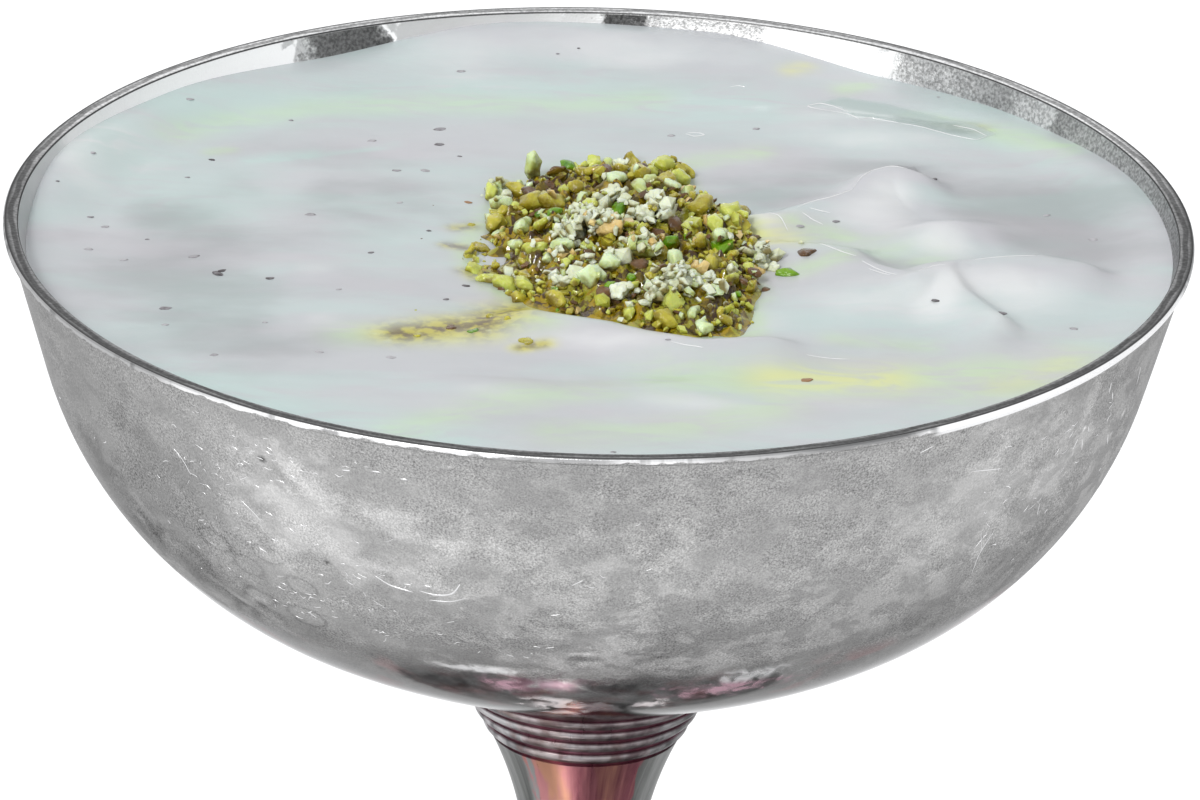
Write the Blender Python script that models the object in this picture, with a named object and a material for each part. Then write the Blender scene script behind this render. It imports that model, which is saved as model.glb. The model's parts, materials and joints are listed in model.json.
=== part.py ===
"""A footed metal dessert coupe, filled with shrikhand and topped with chopped pistachio.

Run with: blender --background --python part.py, or from the text editor.
Metres, +Z up. The origin is on the table, under the coupe's axis. -Y faces the viewer and +X is to the right.
"""
import math
import random

import bmesh
import bpy
from mathutils import Matrix, Vector, noise

# Driving dimensions of the bowl
RIM_RADIUS = 0.0503
RIM_HEIGHT = 0.0923
LIP_HEIGHT = 0.00062
LIP_PROUD = 0.00024
LIP_ROUND = 0.0002
WALL = 0.001
WALL_LEAN = math.radians(16)
WALL_RUN = 0.0118
SHOULDER_RADIUS = 0.0328
SHOULDER_END = math.radians(61)

# Driving dimensions of the stem and foot
COLLAR_RADIUS = 0.0128
WAIST_RADIUS = 0.0046
WAIST_HEIGHT = 0.028
NECK_FLARE = 0.0084
NECK_POWER = 2.5
NECK_RINGS = 4
RING_PITCH = 0.0014
RING_RELIEF = 0.0004
RING_LOWEST = 0.0459
# Each ring from its top down: share of the pitch, share of the relief
RING_PROFILE = ((0.06, 0.0), (0.34, 1.0), (0.76, 1.0))
FOOT_RADIUS = 0.031
FOOT_EDGE = 0.0018
FOOT_WALL = 0.0015
FOOT_HOLLOW = 0.003
FOOT_LAND = 0.0022
FLARE_END = math.radians(86)
HOLLOW_FROM = math.radians(78)
HOLLOW_TO = math.radians(60)

# The gap between pieces that rest on each other
GAP = 0.0003

# How finely round pieces are cut
BOWL_SEGMENTS = 60
STEM_SEGMENTS = 36
SHOULDER_STEPS = 4
BASE_STEPS = 4
SEAT_STEPS = 2
NECK_STEPS = 5
FLARE_STEPS = 7
EDGE_STEPS = 3
HOLLOW_STEPS = 2
SMOOTH_BELOW = math.radians(38)
WELD = 2e-6

# The cream's surface, as a fine grid that is then thinned where it is smooth
CREAM_LEVEL = RIM_HEIGHT - 0.0025
CREAM_SWELL = 0.00022
CREAM_SWELL_SIZE = 0.016
CREAM_SWELL_SLICE = 0.003
MENISCUS = 0.006
GRID_HALF = 0.052
GRID_STEPS = 104
GRID_KEPT = 0.08

# The topping's core
HEAP_CENTRE = (0.0022, 0.0008)
HEAP_THICKNESS = 0.0024
HEAP_FULLNESS = 2.4
HEAP_LUMPINESS = 0.35
HEAP_LUMP_SIZE = 0.0045
HEAP_ROOT = 0.004
CORE_SHARE = 0.95
HEAP_RINGS = 6
HEAP_SPOKES = 30

# The chopped pieces: lengths, widths and heights as shares of length, how far corners are pulled in, sinking
PIECE_SPACING = 0.00271
PLACE_SHIFT = 0.2
OUTLINE_SHARE = 0.96
PIECE_LENGTHS = (0.0018, 0.0035)
CRUMB_LENGTHS = (0.0011, 0.0018)
CRUMB_EVERY = 3
WIDTH_SHARES = (0.64, 0.92)
HEIGHT_SHARES = (0.56, 0.84)
CORNER_SHARES = (0.6, 1.0)
CROWN_SHARE = 1.15
TILT = 0.45
SUNK = 0.3

# The topping's outline: how far it reaches from HEAP_CENTRE, every 20 degrees from +X
HEAP_REACH = [
    0.0110, 0.0118, 0.0118, 0.0130, 0.0172, 0.0178, 0.0170, 0.0144, 0.0134,
    0.0134, 0.0132, 0.0135, 0.0142, 0.0152, 0.0184, 0.0202, 0.0146, 0.0116,
]

# Rounded lumps and hollows of the cream: centre x, centre y, half width, half depth, turn in degrees, height
LUMPS = [
    (0.0025, 0.0000, 0.0150, 0.0170, 0, -0.0010),
    (0.0248, 0.0158, 0.0036, 0.0030, 20, 0.0006),
    (0.0292, 0.0052, 0.0048, 0.0029, 10, 0.0015),
    (0.0375, -0.0052, 0.0070, 0.0036, -12, 0.0006),
    (0.0205, -0.0090, 0.0070, 0.0050, -15, 0.0006),
    (0.0136, 0.0078, 0.0034, 0.0018, -20, 0.0010),
    (0.0200, 0.0300, 0.0100, 0.0030, -12, 0.0006),
    (0.0130, -0.0236, 0.0110, 0.0024, 0, -0.0004),
    (0.0052, -0.0296, 0.0070, 0.0026, 5, 0.0005),
    (-0.0080, -0.0304, 0.0070, 0.0026, -8, 0.0004),
    (-0.0250, -0.0060, 0.0070, 0.0030, 0, 0.0003),
    (0.0255, 0.0335, 0.0080, 0.0022, -15, -0.0004),
]

# Crests of the cream, steeper at the back: front width, back width, height, the points they run through
CRESTS = [
    (0.0050, 0.0013, 0.0013, (
        (0.0171, 0.0096), (0.0217, 0.0130), (0.0226, 0.0159), (0.0249, 0.0178), (0.0270, 0.0160),
    )),
    (0.0046, 0.0013, 0.0013, (
        (0.0284, -0.0030), (0.0318, -0.0023), (0.0373, -0.0011), (0.0405, -0.0024),
    )),
    (0.0030, 0.0013, 0.0014, (
        (0.0268, -0.0062), (0.0291, -0.0042), (0.0304, -0.0086), (0.0336, -0.0146),
    )),
    (0.0056, 0.0013, 0.0010, (
        (0.0160, 0.0020), (0.0191, 0.0016), (0.0212, 0.0007), (0.0230, -0.0026), (0.0262, -0.0051),
    )),
    (0.0046, 0.0014, 0.0013, (
        (-0.0050, -0.0150), (0.0009, -0.0168), (0.0040, -0.0186), (0.0088, -0.0206), (0.0140, -0.0200),
    )),
]

# How far below the rim the cream meets the wall, every 20 degrees from +X
EDGE_DROPS = [
    0.0017, 0.0015, 0.0021, 0.0025, 0.0011, 0.0008, 0.0021, 0.0014, 0.0009,
    0.0023, 0.0025, 0.0026, 0.0027, 0.0027, 0.0027, 0.0026, 0.0025, 0.0021,
]

# Loose bits on the cream: x, y, length
LOOSE_BITS = [
    (-0.0178, -0.0166, 0.0017),
    (-0.0151, -0.0146, 0.0013),
    (-0.0130, -0.0168, 0.0014),
    (-0.0120, -0.0157, 0.0015),
    (-0.0100, -0.0170, 0.0020),
    (-0.0054, -0.0206, 0.0019),
    (0.0176, 0.0002, 0.0020),
    (0.0172, -0.0036, 0.0020),
    (0.0182, 0.0098, 0.0014),
    (-0.0150, 0.0028, 0.0012),
    (-0.0142, 0.0100, 0.0014),
    (-0.0150, -0.0076, 0.0012),
    (-0.0315, -0.0049, 0.0012),
    (-0.0330, 0.0220, 0.0010),
    (0.0190, -0.0246, 0.0013),
]


def clear_scene():
    for thing in list(bpy.data.objects):
        bpy.data.objects.remove(thing, do_unlink=True)


def material(name, colour, roughness, metallic):
    made = bpy.data.materials.new(name)
    made.use_nodes = True
    shader = made.node_tree.nodes["Principled BSDF"]
    shader.inputs["Base Color"].default_value = colour
    shader.inputs["Roughness"].default_value = roughness
    shader.inputs["Metallic"].default_value = metallic
    made.diffuse_color = colour
    return made


def add_object(name, mesh, finish=None):
    made = bpy.data.objects.new(name, mesh)
    if finish is not None:
        made.data.materials.clear()
        made.data.materials.append(finish)
    bpy.context.scene.collection.objects.link(made)
    return made


def remove_object(thing):
    mesh = thing.data
    bpy.data.objects.remove(thing, do_unlink=True)
    bpy.data.meshes.remove(mesh)


def spin_profile(profile, segments):
    """A closed bmesh turned from (radius, height) points that start and end on the Z axis."""
    shape = bmesh.new()
    points = [shape.verts.new((radius, 0, height)) for radius, height in profile]
    for a, b in zip(points, points[1:]):
        shape.edges.new((a, b))
    bmesh.ops.spin(
        shape, geom=shape.verts[:] + shape.edges[:], axis=(0, 0, 1), cent=(0, 0, 0),
        angle=math.tau, steps=segments, use_merge=True, use_duplicate=False,
    )
    bmesh.ops.remove_doubles(shape, verts=shape.verts[:], dist=WELD)
    bmesh.ops.recalc_face_normals(shape, faces=shape.faces[:])
    return shape


def to_mesh(shape, name, smooth_angle=None):
    """A triangulated mesh from a bmesh."""
    bmesh.ops.triangulate(shape, faces=shape.faces[:])
    mesh = bpy.data.meshes.new(name)
    shape.to_mesh(mesh)
    shape.free()
    if smooth_angle is not None:
        mesh.shade_smooth()
        mesh.set_sharp_from_angle(angle=smooth_angle)
    return mesh


def polar(centre, radius, angle):
    return centre[0] + radius * math.cos(angle), centre[1] + radius * math.sin(angle)


def sweep(start, end, steps):
    """Evenly spaced values from start to end, both included."""
    return [start + (end - start) * i / steps for i in range(steps + 1)]


# The middle of the bowl's wall is a straight lean, a shoulder arc and a base arc centred on the axis.
WALL_TOP = (RIM_RADIUS - LIP_PROUD - WALL / 2 / math.cos(WALL_LEAN), RIM_HEIGHT)
SHOULDER_TOP = (
    WALL_TOP[0] - WALL_RUN * math.sin(WALL_LEAN),
    WALL_TOP[1] - WALL_RUN * math.cos(WALL_LEAN),
)
SHOULDER_CENTRE = polar(SHOULDER_TOP, -SHOULDER_RADIUS, -WALL_LEAN)
SHOULDER_FOOT = polar(SHOULDER_CENTRE, SHOULDER_RADIUS, -SHOULDER_END)
BASE_RADIUS = SHOULDER_FOOT[0] / math.cos(SHOULDER_END)
BASE_CENTRE = (0.0, SHOULDER_FOOT[1] + BASE_RADIUS * math.sin(SHOULDER_END))


def wall_face(offset):
    """(radius, height) points of the wall from the axis to its straight part, moved outwards by offset."""
    base = [
        polar(BASE_CENTRE, BASE_RADIUS + offset, -angle)
        for angle in sweep(math.pi / 2, SHOULDER_END, BASE_STEPS)
    ]
    shoulder = [
        polar(SHOULDER_CENTRE, SHOULDER_RADIUS + offset, -angle)
        for angle in sweep(SHOULDER_END, WALL_LEAN, SHOULDER_STEPS)
    ]
    base[0] = (0.0, base[0][1])
    return base + shoulder[1:]


def straight_wall_radius(height, offset):
    """The radius of the wall's straight part at a height, moved outwards by offset."""
    drop = WALL_TOP[1] - height
    return WALL_TOP[0] - drop * math.tan(WALL_LEAN) + offset / math.cos(WALL_LEAN)


def make_bowl(metal):
    """The spun bowl: outer face, flat-topped lip that stands a little proud, inner face."""
    under, shoulder = RIM_HEIGHT - LIP_HEIGHT, RIM_HEIGHT - LIP_ROUND
    lip = [
        (straight_wall_radius(under, WALL / 2), under),
        (RIM_RADIUS - LIP_ROUND, under),
        (RIM_RADIUS, under + LIP_ROUND),
        (RIM_RADIUS, shoulder),
        (RIM_RADIUS - LIP_ROUND, RIM_HEIGHT),
        (straight_wall_radius(RIM_HEIGHT, -WALL / 2) + LIP_ROUND, RIM_HEIGHT),
        (straight_wall_radius(shoulder, -WALL / 2), shoulder),
    ]
    profile = wall_face(WALL / 2) + lip + wall_face(-WALL / 2)[::-1]
    shape = spin_profile(profile, BOWL_SEGMENTS)
    return add_object("coupe_bowl", to_mesh(shape, "coupe_bowl", SMOOTH_BELOW), metal)


def neck_radius(height):
    """The stem's radius above its waist, without the rings."""
    top = BASE_CENTRE[1] - BASE_RADIUS
    share = max(0.0, (height - WAIST_HEIGHT) / (top - WAIST_HEIGHT))
    return WAIST_RADIUS + NECK_FLARE * share**NECK_POWER


def foot_point(angle, inset=0.0):
    """A point of the foot's quarter-ellipse flare, from 0 at the waist to a quarter turn at the edge."""
    half_width = FOOT_RADIUS - WAIST_RADIUS
    half_height = WAIST_HEIGHT - FOOT_EDGE
    radius = FOOT_RADIUS - half_width * math.cos(angle)
    height = WAIST_HEIGHT - half_height * math.sin(angle)
    normal = Vector((half_height * math.cos(angle), half_width * math.sin(angle))).normalized()
    return radius - inset * normal.x, height - inset * normal.y


def make_stem(metal):
    """The cast stem: a collar that fits the bowl's underside, ringed neck, waist, and foot with a recess."""
    seat_radius = BASE_RADIUS + WALL / 2 + GAP
    seat_edge = math.acos(COLLAR_RADIUS / seat_radius)
    seat = [polar(BASE_CENTRE, seat_radius, -angle) for angle in sweep(math.pi / 2, seat_edge, SEAT_STEPS)]
    seat[0] = (0.0, seat[0][1])

    neck = []
    ring_top = RING_LOWEST + NECK_RINGS * RING_PITCH
    for ring in range(NECK_RINGS):
        for share, relief in RING_PROFILE:
            height = ring_top - (ring + share) * RING_PITCH
            neck.append((neck_radius(height) + (relief - 0.5) * RING_RELIEF, height))
    neck += [(neck_radius(height), height) for height in sweep(RING_LOWEST, WAIST_HEIGHT, NECK_STEPS)]

    flare = [foot_point(angle) for angle in sweep(0.0, FLARE_END, FLARE_STEPS)[1:]]
    edge = [
        polar((FOOT_RADIUS, FOOT_EDGE / 2), FOOT_EDGE / 2, angle)
        for angle in sweep(math.pi / 2, -math.pi / 2, EDGE_STEPS)
    ]
    hollow = [foot_point(angle, FOOT_WALL) for angle in sweep(HOLLOW_FROM, HOLLOW_TO, HOLLOW_STEPS)]
    hollow = [(radius, min(height, FOOT_HOLLOW)) for radius, height in hollow if height > 0]
    under = [(FOOT_RADIUS - FOOT_LAND, 0.0)] + hollow + [(0.0, FOOT_HOLLOW)]

    shape = spin_profile(seat + neck + flare + edge + under, STEM_SEGMENTS)
    return add_object("coupe_stem", to_mesh(shape, "coupe_stem", SMOOTH_BELOW), metal)


def lump_height(x, y, lump):
    """Height that one rounded lump adds at a place."""
    centre_x, centre_y, half_x, half_y, turn, height = lump
    turn = math.radians(turn)
    across, along = x - centre_x, y - centre_y
    u = (across * math.cos(turn) + along * math.sin(turn)) / half_x
    v = (-across * math.sin(turn) + along * math.cos(turn)) / half_y
    return height * math.exp(-(u * u + v * v))


def crest_height(x, y, crest):
    """Height that one crest adds at a place: it falls off slowly in front of its line and fast behind it."""
    front, back, height, route = crest
    place = Vector((x, y))
    nearest, side = math.inf, 0.0
    for a, b in zip(route, route[1:]):
        start, span = Vector(a), Vector(b) - Vector(a)
        share = max(0.0, min(1.0, (place - start).dot(span) / span.length_squared))
        away = place - start - span * share
        if away.length < nearest:
            nearest = away.length
            side = span.normalized().cross(away.normalized())
    width = front + (back - front) * (0.5 + 0.5 * side)
    return height * math.exp(-((nearest / width) ** 2))


def smooth_step(share):
    share = max(0.0, min(1.0, share))
    return share * share * (3 - 2 * share)


def round_table(values, angle):
    """The value in a direction, eased between values that are spread evenly round a circle from +X."""
    place = (angle % math.tau) / math.tau * len(values)
    before = int(place) % len(values)
    after = (before + 1) % len(values)
    return values[before] + (values[after] - values[before]) * smooth_step(place - int(place))


def cream_height(x, y):
    """The cream's surface above the table."""
    swell = noise.noise(Vector((x, y, CREAM_SWELL_SLICE)) / CREAM_SWELL_SIZE) * CREAM_SWELL
    lumps = sum(lump_height(x, y, lump) for lump in LUMPS)
    crests = sum(crest_height(x, y, crest) ** 3 for crest in CRESTS) ** (1 / 3)
    middle = CREAM_LEVEL + swell + lumps + crests
    edge = RIM_HEIGHT - round_table(EDGE_DROPS, math.atan2(y, x))
    inside = straight_wall_radius(CREAM_LEVEL, -WALL / 2 - GAP) - math.hypot(x, y)
    near_edge = smooth_step(1 - inside / MENISCUS)
    return middle + (edge - middle) * near_edge


def evaluated_mesh(thing):
    graph = bpy.context.evaluated_depsgraph_get()
    graph.update()
    return bpy.data.meshes.new_from_object(thing.evaluated_get(graph))


def make_terrain():
    """A block whose top is the cream's surface, thinned where it is smooth, wider than the bowl."""
    shape = bmesh.new()
    bmesh.ops.create_grid(shape, x_segments=GRID_STEPS, y_segments=GRID_STEPS, size=GRID_HALF)
    for vert in shape.verts:
        vert.co.z = cream_height(vert.co.x, vert.co.y)
    thick = add_object("terrain", to_mesh(shape, "terrain"))
    thinning = thick.modifiers.new("thinning", "DECIMATE")
    thinning.ratio = GRID_KEPT
    thinned = evaluated_mesh(thick)
    remove_object(thick)

    shape = bmesh.new()
    shape.from_mesh(thinned)
    bpy.data.meshes.remove(thinned)
    border = [edge for edge in shape.edges if edge.is_boundary]
    grown = bmesh.ops.extrude_edge_only(shape, edges=border)["geom"]
    for vert in grown:
        if isinstance(vert, bmesh.types.BMVert):
            vert.co.z = RIM_HEIGHT / 2
    bmesh.ops.holes_fill(shape, edges=[edge for edge in shape.edges if edge.is_boundary], sides=0)
    bmesh.ops.recalc_face_normals(shape, faces=shape.faces[:])
    return to_mesh(shape, "terrain")


def apply_boolean(target, operation, group=None, other=None):
    """Joins a collection to a target, or cuts the target by one object, and applies the result."""
    modifier = target.modifiers.new("join", "BOOLEAN")
    modifier.operation = operation
    modifier.solver = "MANIFOLD"
    if group is not None:
        modifier.operand_type = "COLLECTION"
        modifier.collection = group
    else:
        modifier.object = other
    joined = evaluated_mesh(target)
    target.modifiers.remove(modifier)
    target.data = joined


def keep_largest_body(thing):
    """Drops loose scraps and fills sealed hollows, and welds points that a Boolean left almost together."""
    shape = bmesh.new()
    shape.from_mesh(thing.data)
    bmesh.ops.remove_doubles(shape, verts=shape.verts[:], dist=WELD)
    bmesh.ops.dissolve_degenerate(shape, edges=shape.edges[:], dist=WELD)
    left = set(shape.verts)
    bodies = []
    while left:
        body, reached = set(), [next(iter(left))]
        while reached:
            vert = reached.pop()
            if vert not in body:
                body.add(vert)
                reached.extend(edge.other_vert(vert) for edge in vert.link_edges)
        left -= body
        bodies.append(body)
    largest = max(bodies, key=len)
    bmesh.ops.delete(shape, geom=[vert for vert in shape.verts if vert not in largest], context="VERTS")
    bmesh.ops.triangulate(shape, faces=shape.faces[:])
    shape.to_mesh(thing.data)
    shape.free()


def new_group(name):
    group = bpy.data.collections.new(name)
    bpy.context.scene.collection.children.link(group)
    return group


def remove_group(group):
    for piece in list(group.objects):
        remove_object(piece)
    bpy.data.collections.remove(group)


def nut_chunk(length, draw):
    """A small bmesh of one chopped piece: the hull of a squat block with its corners moved about."""
    shape = bmesh.new()
    half = Vector((1.0, draw.uniform(*WIDTH_SHARES), draw.uniform(*HEIGHT_SHARES))) * length / 2
    for corner in range(8):
        signs = [1 if corner >> axis & 1 else -1 for axis in range(3)]
        shape.verts.new([half[axis] * signs[axis] * draw.uniform(*CORNER_SHARES) for axis in range(3)])
    shape.verts.new((0.0, 0.0, half.z * CROWN_SHARE))
    hull = bmesh.ops.convex_hull(shape, input=shape.verts[:])
    inside = {v for v in hull["geom_interior"] + hull["geom_unused"] if isinstance(v, bmesh.types.BMVert)}
    bmesh.ops.delete(shape, geom=list(inside), context="VERTS")
    bmesh.ops.recalc_face_normals(shape, faces=shape.faces[:])
    return shape


def place_chunk(name, length, place, draw, group):
    """One chopped piece as an object of a collection, turned at random."""
    shape = nut_chunk(length, draw)
    turn = Matrix.Rotation(draw.uniform(0, math.tau), 4, "Z") @ Matrix.Rotation(draw.gauss(0, TILT), 4, "X")
    shape.transform(Matrix.Translation(place) @ turn)
    mesh = bpy.data.meshes.new(name)
    shape.to_mesh(mesh)
    shape.free()
    group.objects.link(bpy.data.objects.new(name, mesh))


def make_cream(cream, terrain, draw):
    """The shrikhand: it fills the bowl to a gap from the wall, and its top has soft lumps and crests."""
    top = RIM_HEIGHT + GAP
    side = wall_face(-WALL / 2 - GAP)[::-1]
    profile = [(0.0, top), (straight_wall_radius(top, -WALL / 2 - GAP), top)] + side
    shape = spin_profile(profile, BOWL_SEGMENTS)
    body = add_object("shrikhand", to_mesh(shape, "shrikhand"), cream)
    level = add_object("level", terrain.copy())
    apply_boolean(body, "INTERSECT", other=level)
    remove_object(level)

    group = new_group("loose_bits")
    for number, (x, y, length) in enumerate(LOOSE_BITS):
        place = Vector((x, y, cream_height(x, y)))
        place_chunk(f"loose_bit_{number}", length, place, draw, group)
    apply_boolean(body, "UNION", group=group)
    remove_group(group)
    keep_largest_body(body)
    body.data.shade_smooth()
    body.data.set_sharp_from_angle(angle=SMOOTH_BELOW)
    return body


def heap_share(x, y):
    """How far out in the topping a place is, from 0 at its centre to 1 at its outline."""
    across, along = x - HEAP_CENTRE[0], y - HEAP_CENTRE[1]
    return math.hypot(across, along) / round_table(HEAP_REACH, math.atan2(along, across))


def heap_thickness(x, y):
    """Thickness of the topping's core above the cream at a place."""
    lumpy = 1 + HEAP_LUMPINESS * noise.noise(Vector((x, y, 0.0)) / HEAP_LUMP_SIZE)
    return HEAP_THICKNESS * max(0.0, 1 - heap_share(x, y) ** HEAP_FULLNESS) * lumpy


def heap_places(draw):
    """Places spread evenly over the topping, in staggered rows, each a little off its row."""
    places = []
    steps = math.ceil(max(HEAP_REACH) / PIECE_SPACING)
    for row in range(-steps, steps + 1):
        for column in range(-steps, steps + 1):
            across = column + row % 2 / 2 + draw.uniform(-PLACE_SHIFT, PLACE_SHIFT)
            along = row * math.sqrt(3) / 2 + draw.uniform(-PLACE_SHIFT, PLACE_SHIFT)
            x, y = HEAP_CENTRE[0] + across * PIECE_SPACING, HEAP_CENTRE[1] + along * PIECE_SPACING
            if heap_share(x, y) < OUTLINE_SHARE:
                places.append((x, y))
    return places


def make_heap(nuts, terrain, draw):
    """The chopped nut topping: a low core with pieces fused on, cut off a gap above the cream."""
    profile = [(share, 0.0) for share in sweep(0.0, 1.0, HEAP_RINGS)] + [(0.0, -1.0)]
    shape = spin_profile(profile, HEAP_SPOKES)
    for vert in shape.verts:
        on_top = vert.co.z > -0.5
        angle = math.atan2(vert.co.y, vert.co.x)
        x, y = polar(HEAP_CENTRE, round_table(HEAP_REACH, angle) * vert.co.xy.length * CORE_SHARE, angle)
        lift = heap_thickness(x, y) + 2 * GAP if on_top else -HEAP_ROOT
        vert.co = (x, y, cream_height(x, y) + lift)
    heap = add_object("pistachio_topping", to_mesh(shape, "pistachio_topping"), nuts)

    group = new_group("nut_pieces")
    for number, (x, y) in enumerate(heap_places(draw)):
        length = draw.uniform(*(PIECE_LENGTHS if number % CRUMB_EVERY else CRUMB_LENGTHS))
        lift = heap_thickness(x, y) + GAP + length * (0.5 - SUNK)
        place_chunk(f"nut_{number}", length, Vector((x, y, cream_height(x, y) + lift)), draw, group)
    apply_boolean(heap, "UNION", group=group)
    remove_group(group)

    level = add_object("level", terrain.copy())
    level.data.transform(Matrix.Translation((0, 0, GAP)))
    apply_boolean(heap, "DIFFERENCE", other=level)
    remove_object(level)
    keep_largest_body(heap)
    return heap


def main():
    clear_scene()
    draw = random.Random(7)
    metal = material("mottled_silver", (0.60, 0.60, 0.61, 1.0), 0.34, 1.0)
    cream = material("shrikhand_cream", (0.86, 0.87, 0.86, 1.0), 0.35, 0.0)
    nuts = material("chopped_pistachio", (0.62, 0.62, 0.22, 1.0), 0.55, 0.0)
    make_bowl(metal)
    make_stem(metal)
    terrain = make_terrain()
    make_cream(cream, terrain, draw)
    make_heap(nuts, terrain, draw)
    bpy.data.meshes.remove(terrain)


main()
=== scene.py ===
"""Looks of a footed metal coupe of shrikhand, topped with chopped pistachio.

Laid out as an add-on and run as a script. Metres, +Z up, -Y towards the viewer, +X to the right.
"""
import itertools
import json
import math
import random

import bmesh
import bpy
import numpy as np
from bpy.props import FloatProperty, FloatVectorProperty, IntProperty, PointerProperty
from mathutils import Matrix, Vector, noise

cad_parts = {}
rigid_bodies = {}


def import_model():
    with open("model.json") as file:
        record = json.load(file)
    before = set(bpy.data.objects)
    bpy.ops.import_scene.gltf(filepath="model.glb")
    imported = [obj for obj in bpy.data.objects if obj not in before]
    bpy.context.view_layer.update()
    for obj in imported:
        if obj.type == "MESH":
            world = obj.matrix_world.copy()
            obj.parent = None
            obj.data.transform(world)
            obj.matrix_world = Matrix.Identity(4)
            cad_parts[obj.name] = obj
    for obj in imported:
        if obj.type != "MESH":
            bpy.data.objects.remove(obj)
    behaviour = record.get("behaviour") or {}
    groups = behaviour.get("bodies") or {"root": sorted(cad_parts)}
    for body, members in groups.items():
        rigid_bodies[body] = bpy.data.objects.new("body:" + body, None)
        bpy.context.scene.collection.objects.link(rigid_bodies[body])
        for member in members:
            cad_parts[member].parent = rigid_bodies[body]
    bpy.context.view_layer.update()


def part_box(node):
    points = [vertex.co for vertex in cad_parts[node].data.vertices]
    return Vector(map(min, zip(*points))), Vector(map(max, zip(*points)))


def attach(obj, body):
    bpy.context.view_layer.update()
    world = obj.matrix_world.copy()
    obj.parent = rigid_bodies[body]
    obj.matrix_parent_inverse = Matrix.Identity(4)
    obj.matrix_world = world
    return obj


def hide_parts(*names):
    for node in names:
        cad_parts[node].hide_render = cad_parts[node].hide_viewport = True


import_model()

bl_info = {
    "name": "Shrikhand coupe",
    "version": (1, 0, 0),
    "blender": (4, 5, 0),
    "location": "3D View > Sidebar > Shrikhand",
    "description": "Dresses a metal coupe of shrikhand with chopped pistachio",
    "category": "Object",
}

BOWL_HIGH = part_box("coupe_bowl")[1]
FOOT_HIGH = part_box("coupe_stem")[1]
HEAP_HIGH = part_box("pistachio_topping")[1]

# The lip's section
LIP_HEIGHT = 0.00062
LIP_PROUD = 0.00024
LIP_ROUND = 0.0002

# The stem's rings and foot
NECK_FLARE = 0.0084
NECK_POWER = 2.5
NECK_RINGS = 4
RING_PITCH = 0.0014
RING_RELIEF = 0.0004
RING_LOWEST = 0.0459
FOOT_EDGE = 0.0018
FOOT_WALL = 0.0015
FOOT_HOLLOW = 0.003
FOOT_LAND = 0.0022
FLARE_END = math.radians(87)
HOLLOW_FROM = math.radians(78)
HOLLOW_TO = math.radians(60)
HOLLOW_MIDDLE = 0.004
SEAM_GAP = 0.0003

# The collar's rounding, how much the stem grows above its rings, and the share and power of a ring's bead
COLLAR_ROUND = 0.0004
NECK_FILLET = (0.00035, 0.00015, 0.00005)
BEAD_SHARE = 0.78
BEAD_POWER = 0.6

# How finely round pieces are cut
BOWL_AROUND = 288
STEM_AROUND = 160
CREAM_AROUND = 440
CREAM_RINGS = 190
HEAP_AROUND = 320
HEAP_RINGS = 90
BASE_STEPS = 28
BEND_STEPS = 26
STRAIGHT_STEPS = 16
LIP_STEPS = 4
SEAT_STEPS = 12
RING_STEPS = 14
NECK_STEPS = 26
FLARE_STEPS = 36
FOOT_STEPS = 10
SMOOTH_BELOW = math.radians(40)
TINY = 1e-12

# Radii at which the unrolled surfaces of the bowl and the stem are measured
BOWL_SKIN = 0.045
STEM_SKIN = 0.012

# Which way an angle about the upright axis is measured from
FROM_FRONT = -1.0
FROM_BACK = 1.0

# The worked surface of the bowl: how far it lies inside the turned outline, over what distance from the rim
# and the axis it eases in, and its noises (size round, size up, cut, strength) at a radius
BOWL_INSET = 0.00003
WORKED_EASE = 0.004
WORKED_RADIUS = 0.05
WORKED_UNEVEN = [(0.0075, 0.006, 0.0, 1.0), (0.003, 0.0024, 3.0, 0.4)]

# The cream's surface
CREAM_DROP = 0.0025
MENISCUS = 0.006
INTO_WALL = 0.00015

# Its hidden side: every how many points of the wall it follows, and how far below the rim it ends
HIDDEN_STEP = 3
HIDDEN_BELOW = 0.004

# Its soft swell and drag marks: size across, size along, cut, height
CREAM_UNEVEN = [
    (0.016, 0.016, 0.1875, 0.00022), (0.009, 0.0034, 0.7, 0.0001), (0.0042, 0.0016, 0.7, 0.00004),
]

# Rounded lumps and hollows of the cream: centre x, centre y, half width, half depth, turn, height
LUMPS = [
    (0.0025, 0.0, 0.015, 0.017, 0, -0.001),
    (0.0248, 0.0158, 0.0036, 0.003, 20, 0.0006),
    (0.0292, 0.0052, 0.0048, 0.0029, 10, 0.0015),
    (0.0375, -0.0052, 0.007, 0.0036, -12, 0.0006),
    (0.0205, -0.009, 0.007, 0.005, -15, 0.0006),
    (0.0134, 0.007, 0.0032, 0.0022, -20, 0.0013),
    (0.02, 0.03, 0.01, 0.003, -12, 0.0006),
    (0.013, -0.0236, 0.011, 0.0024, 0, -0.0004),
    (0.0052, -0.0296, 0.007, 0.0026, 5, 0.0005),
    (-0.008, -0.0304, 0.007, 0.0026, -8, 0.0004),
    (-0.025, -0.006, 0.007, 0.003, 0, 0.0003),
    (0.0255, 0.0335, 0.008, 0.0022, -15, -0.0004),
]

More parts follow.
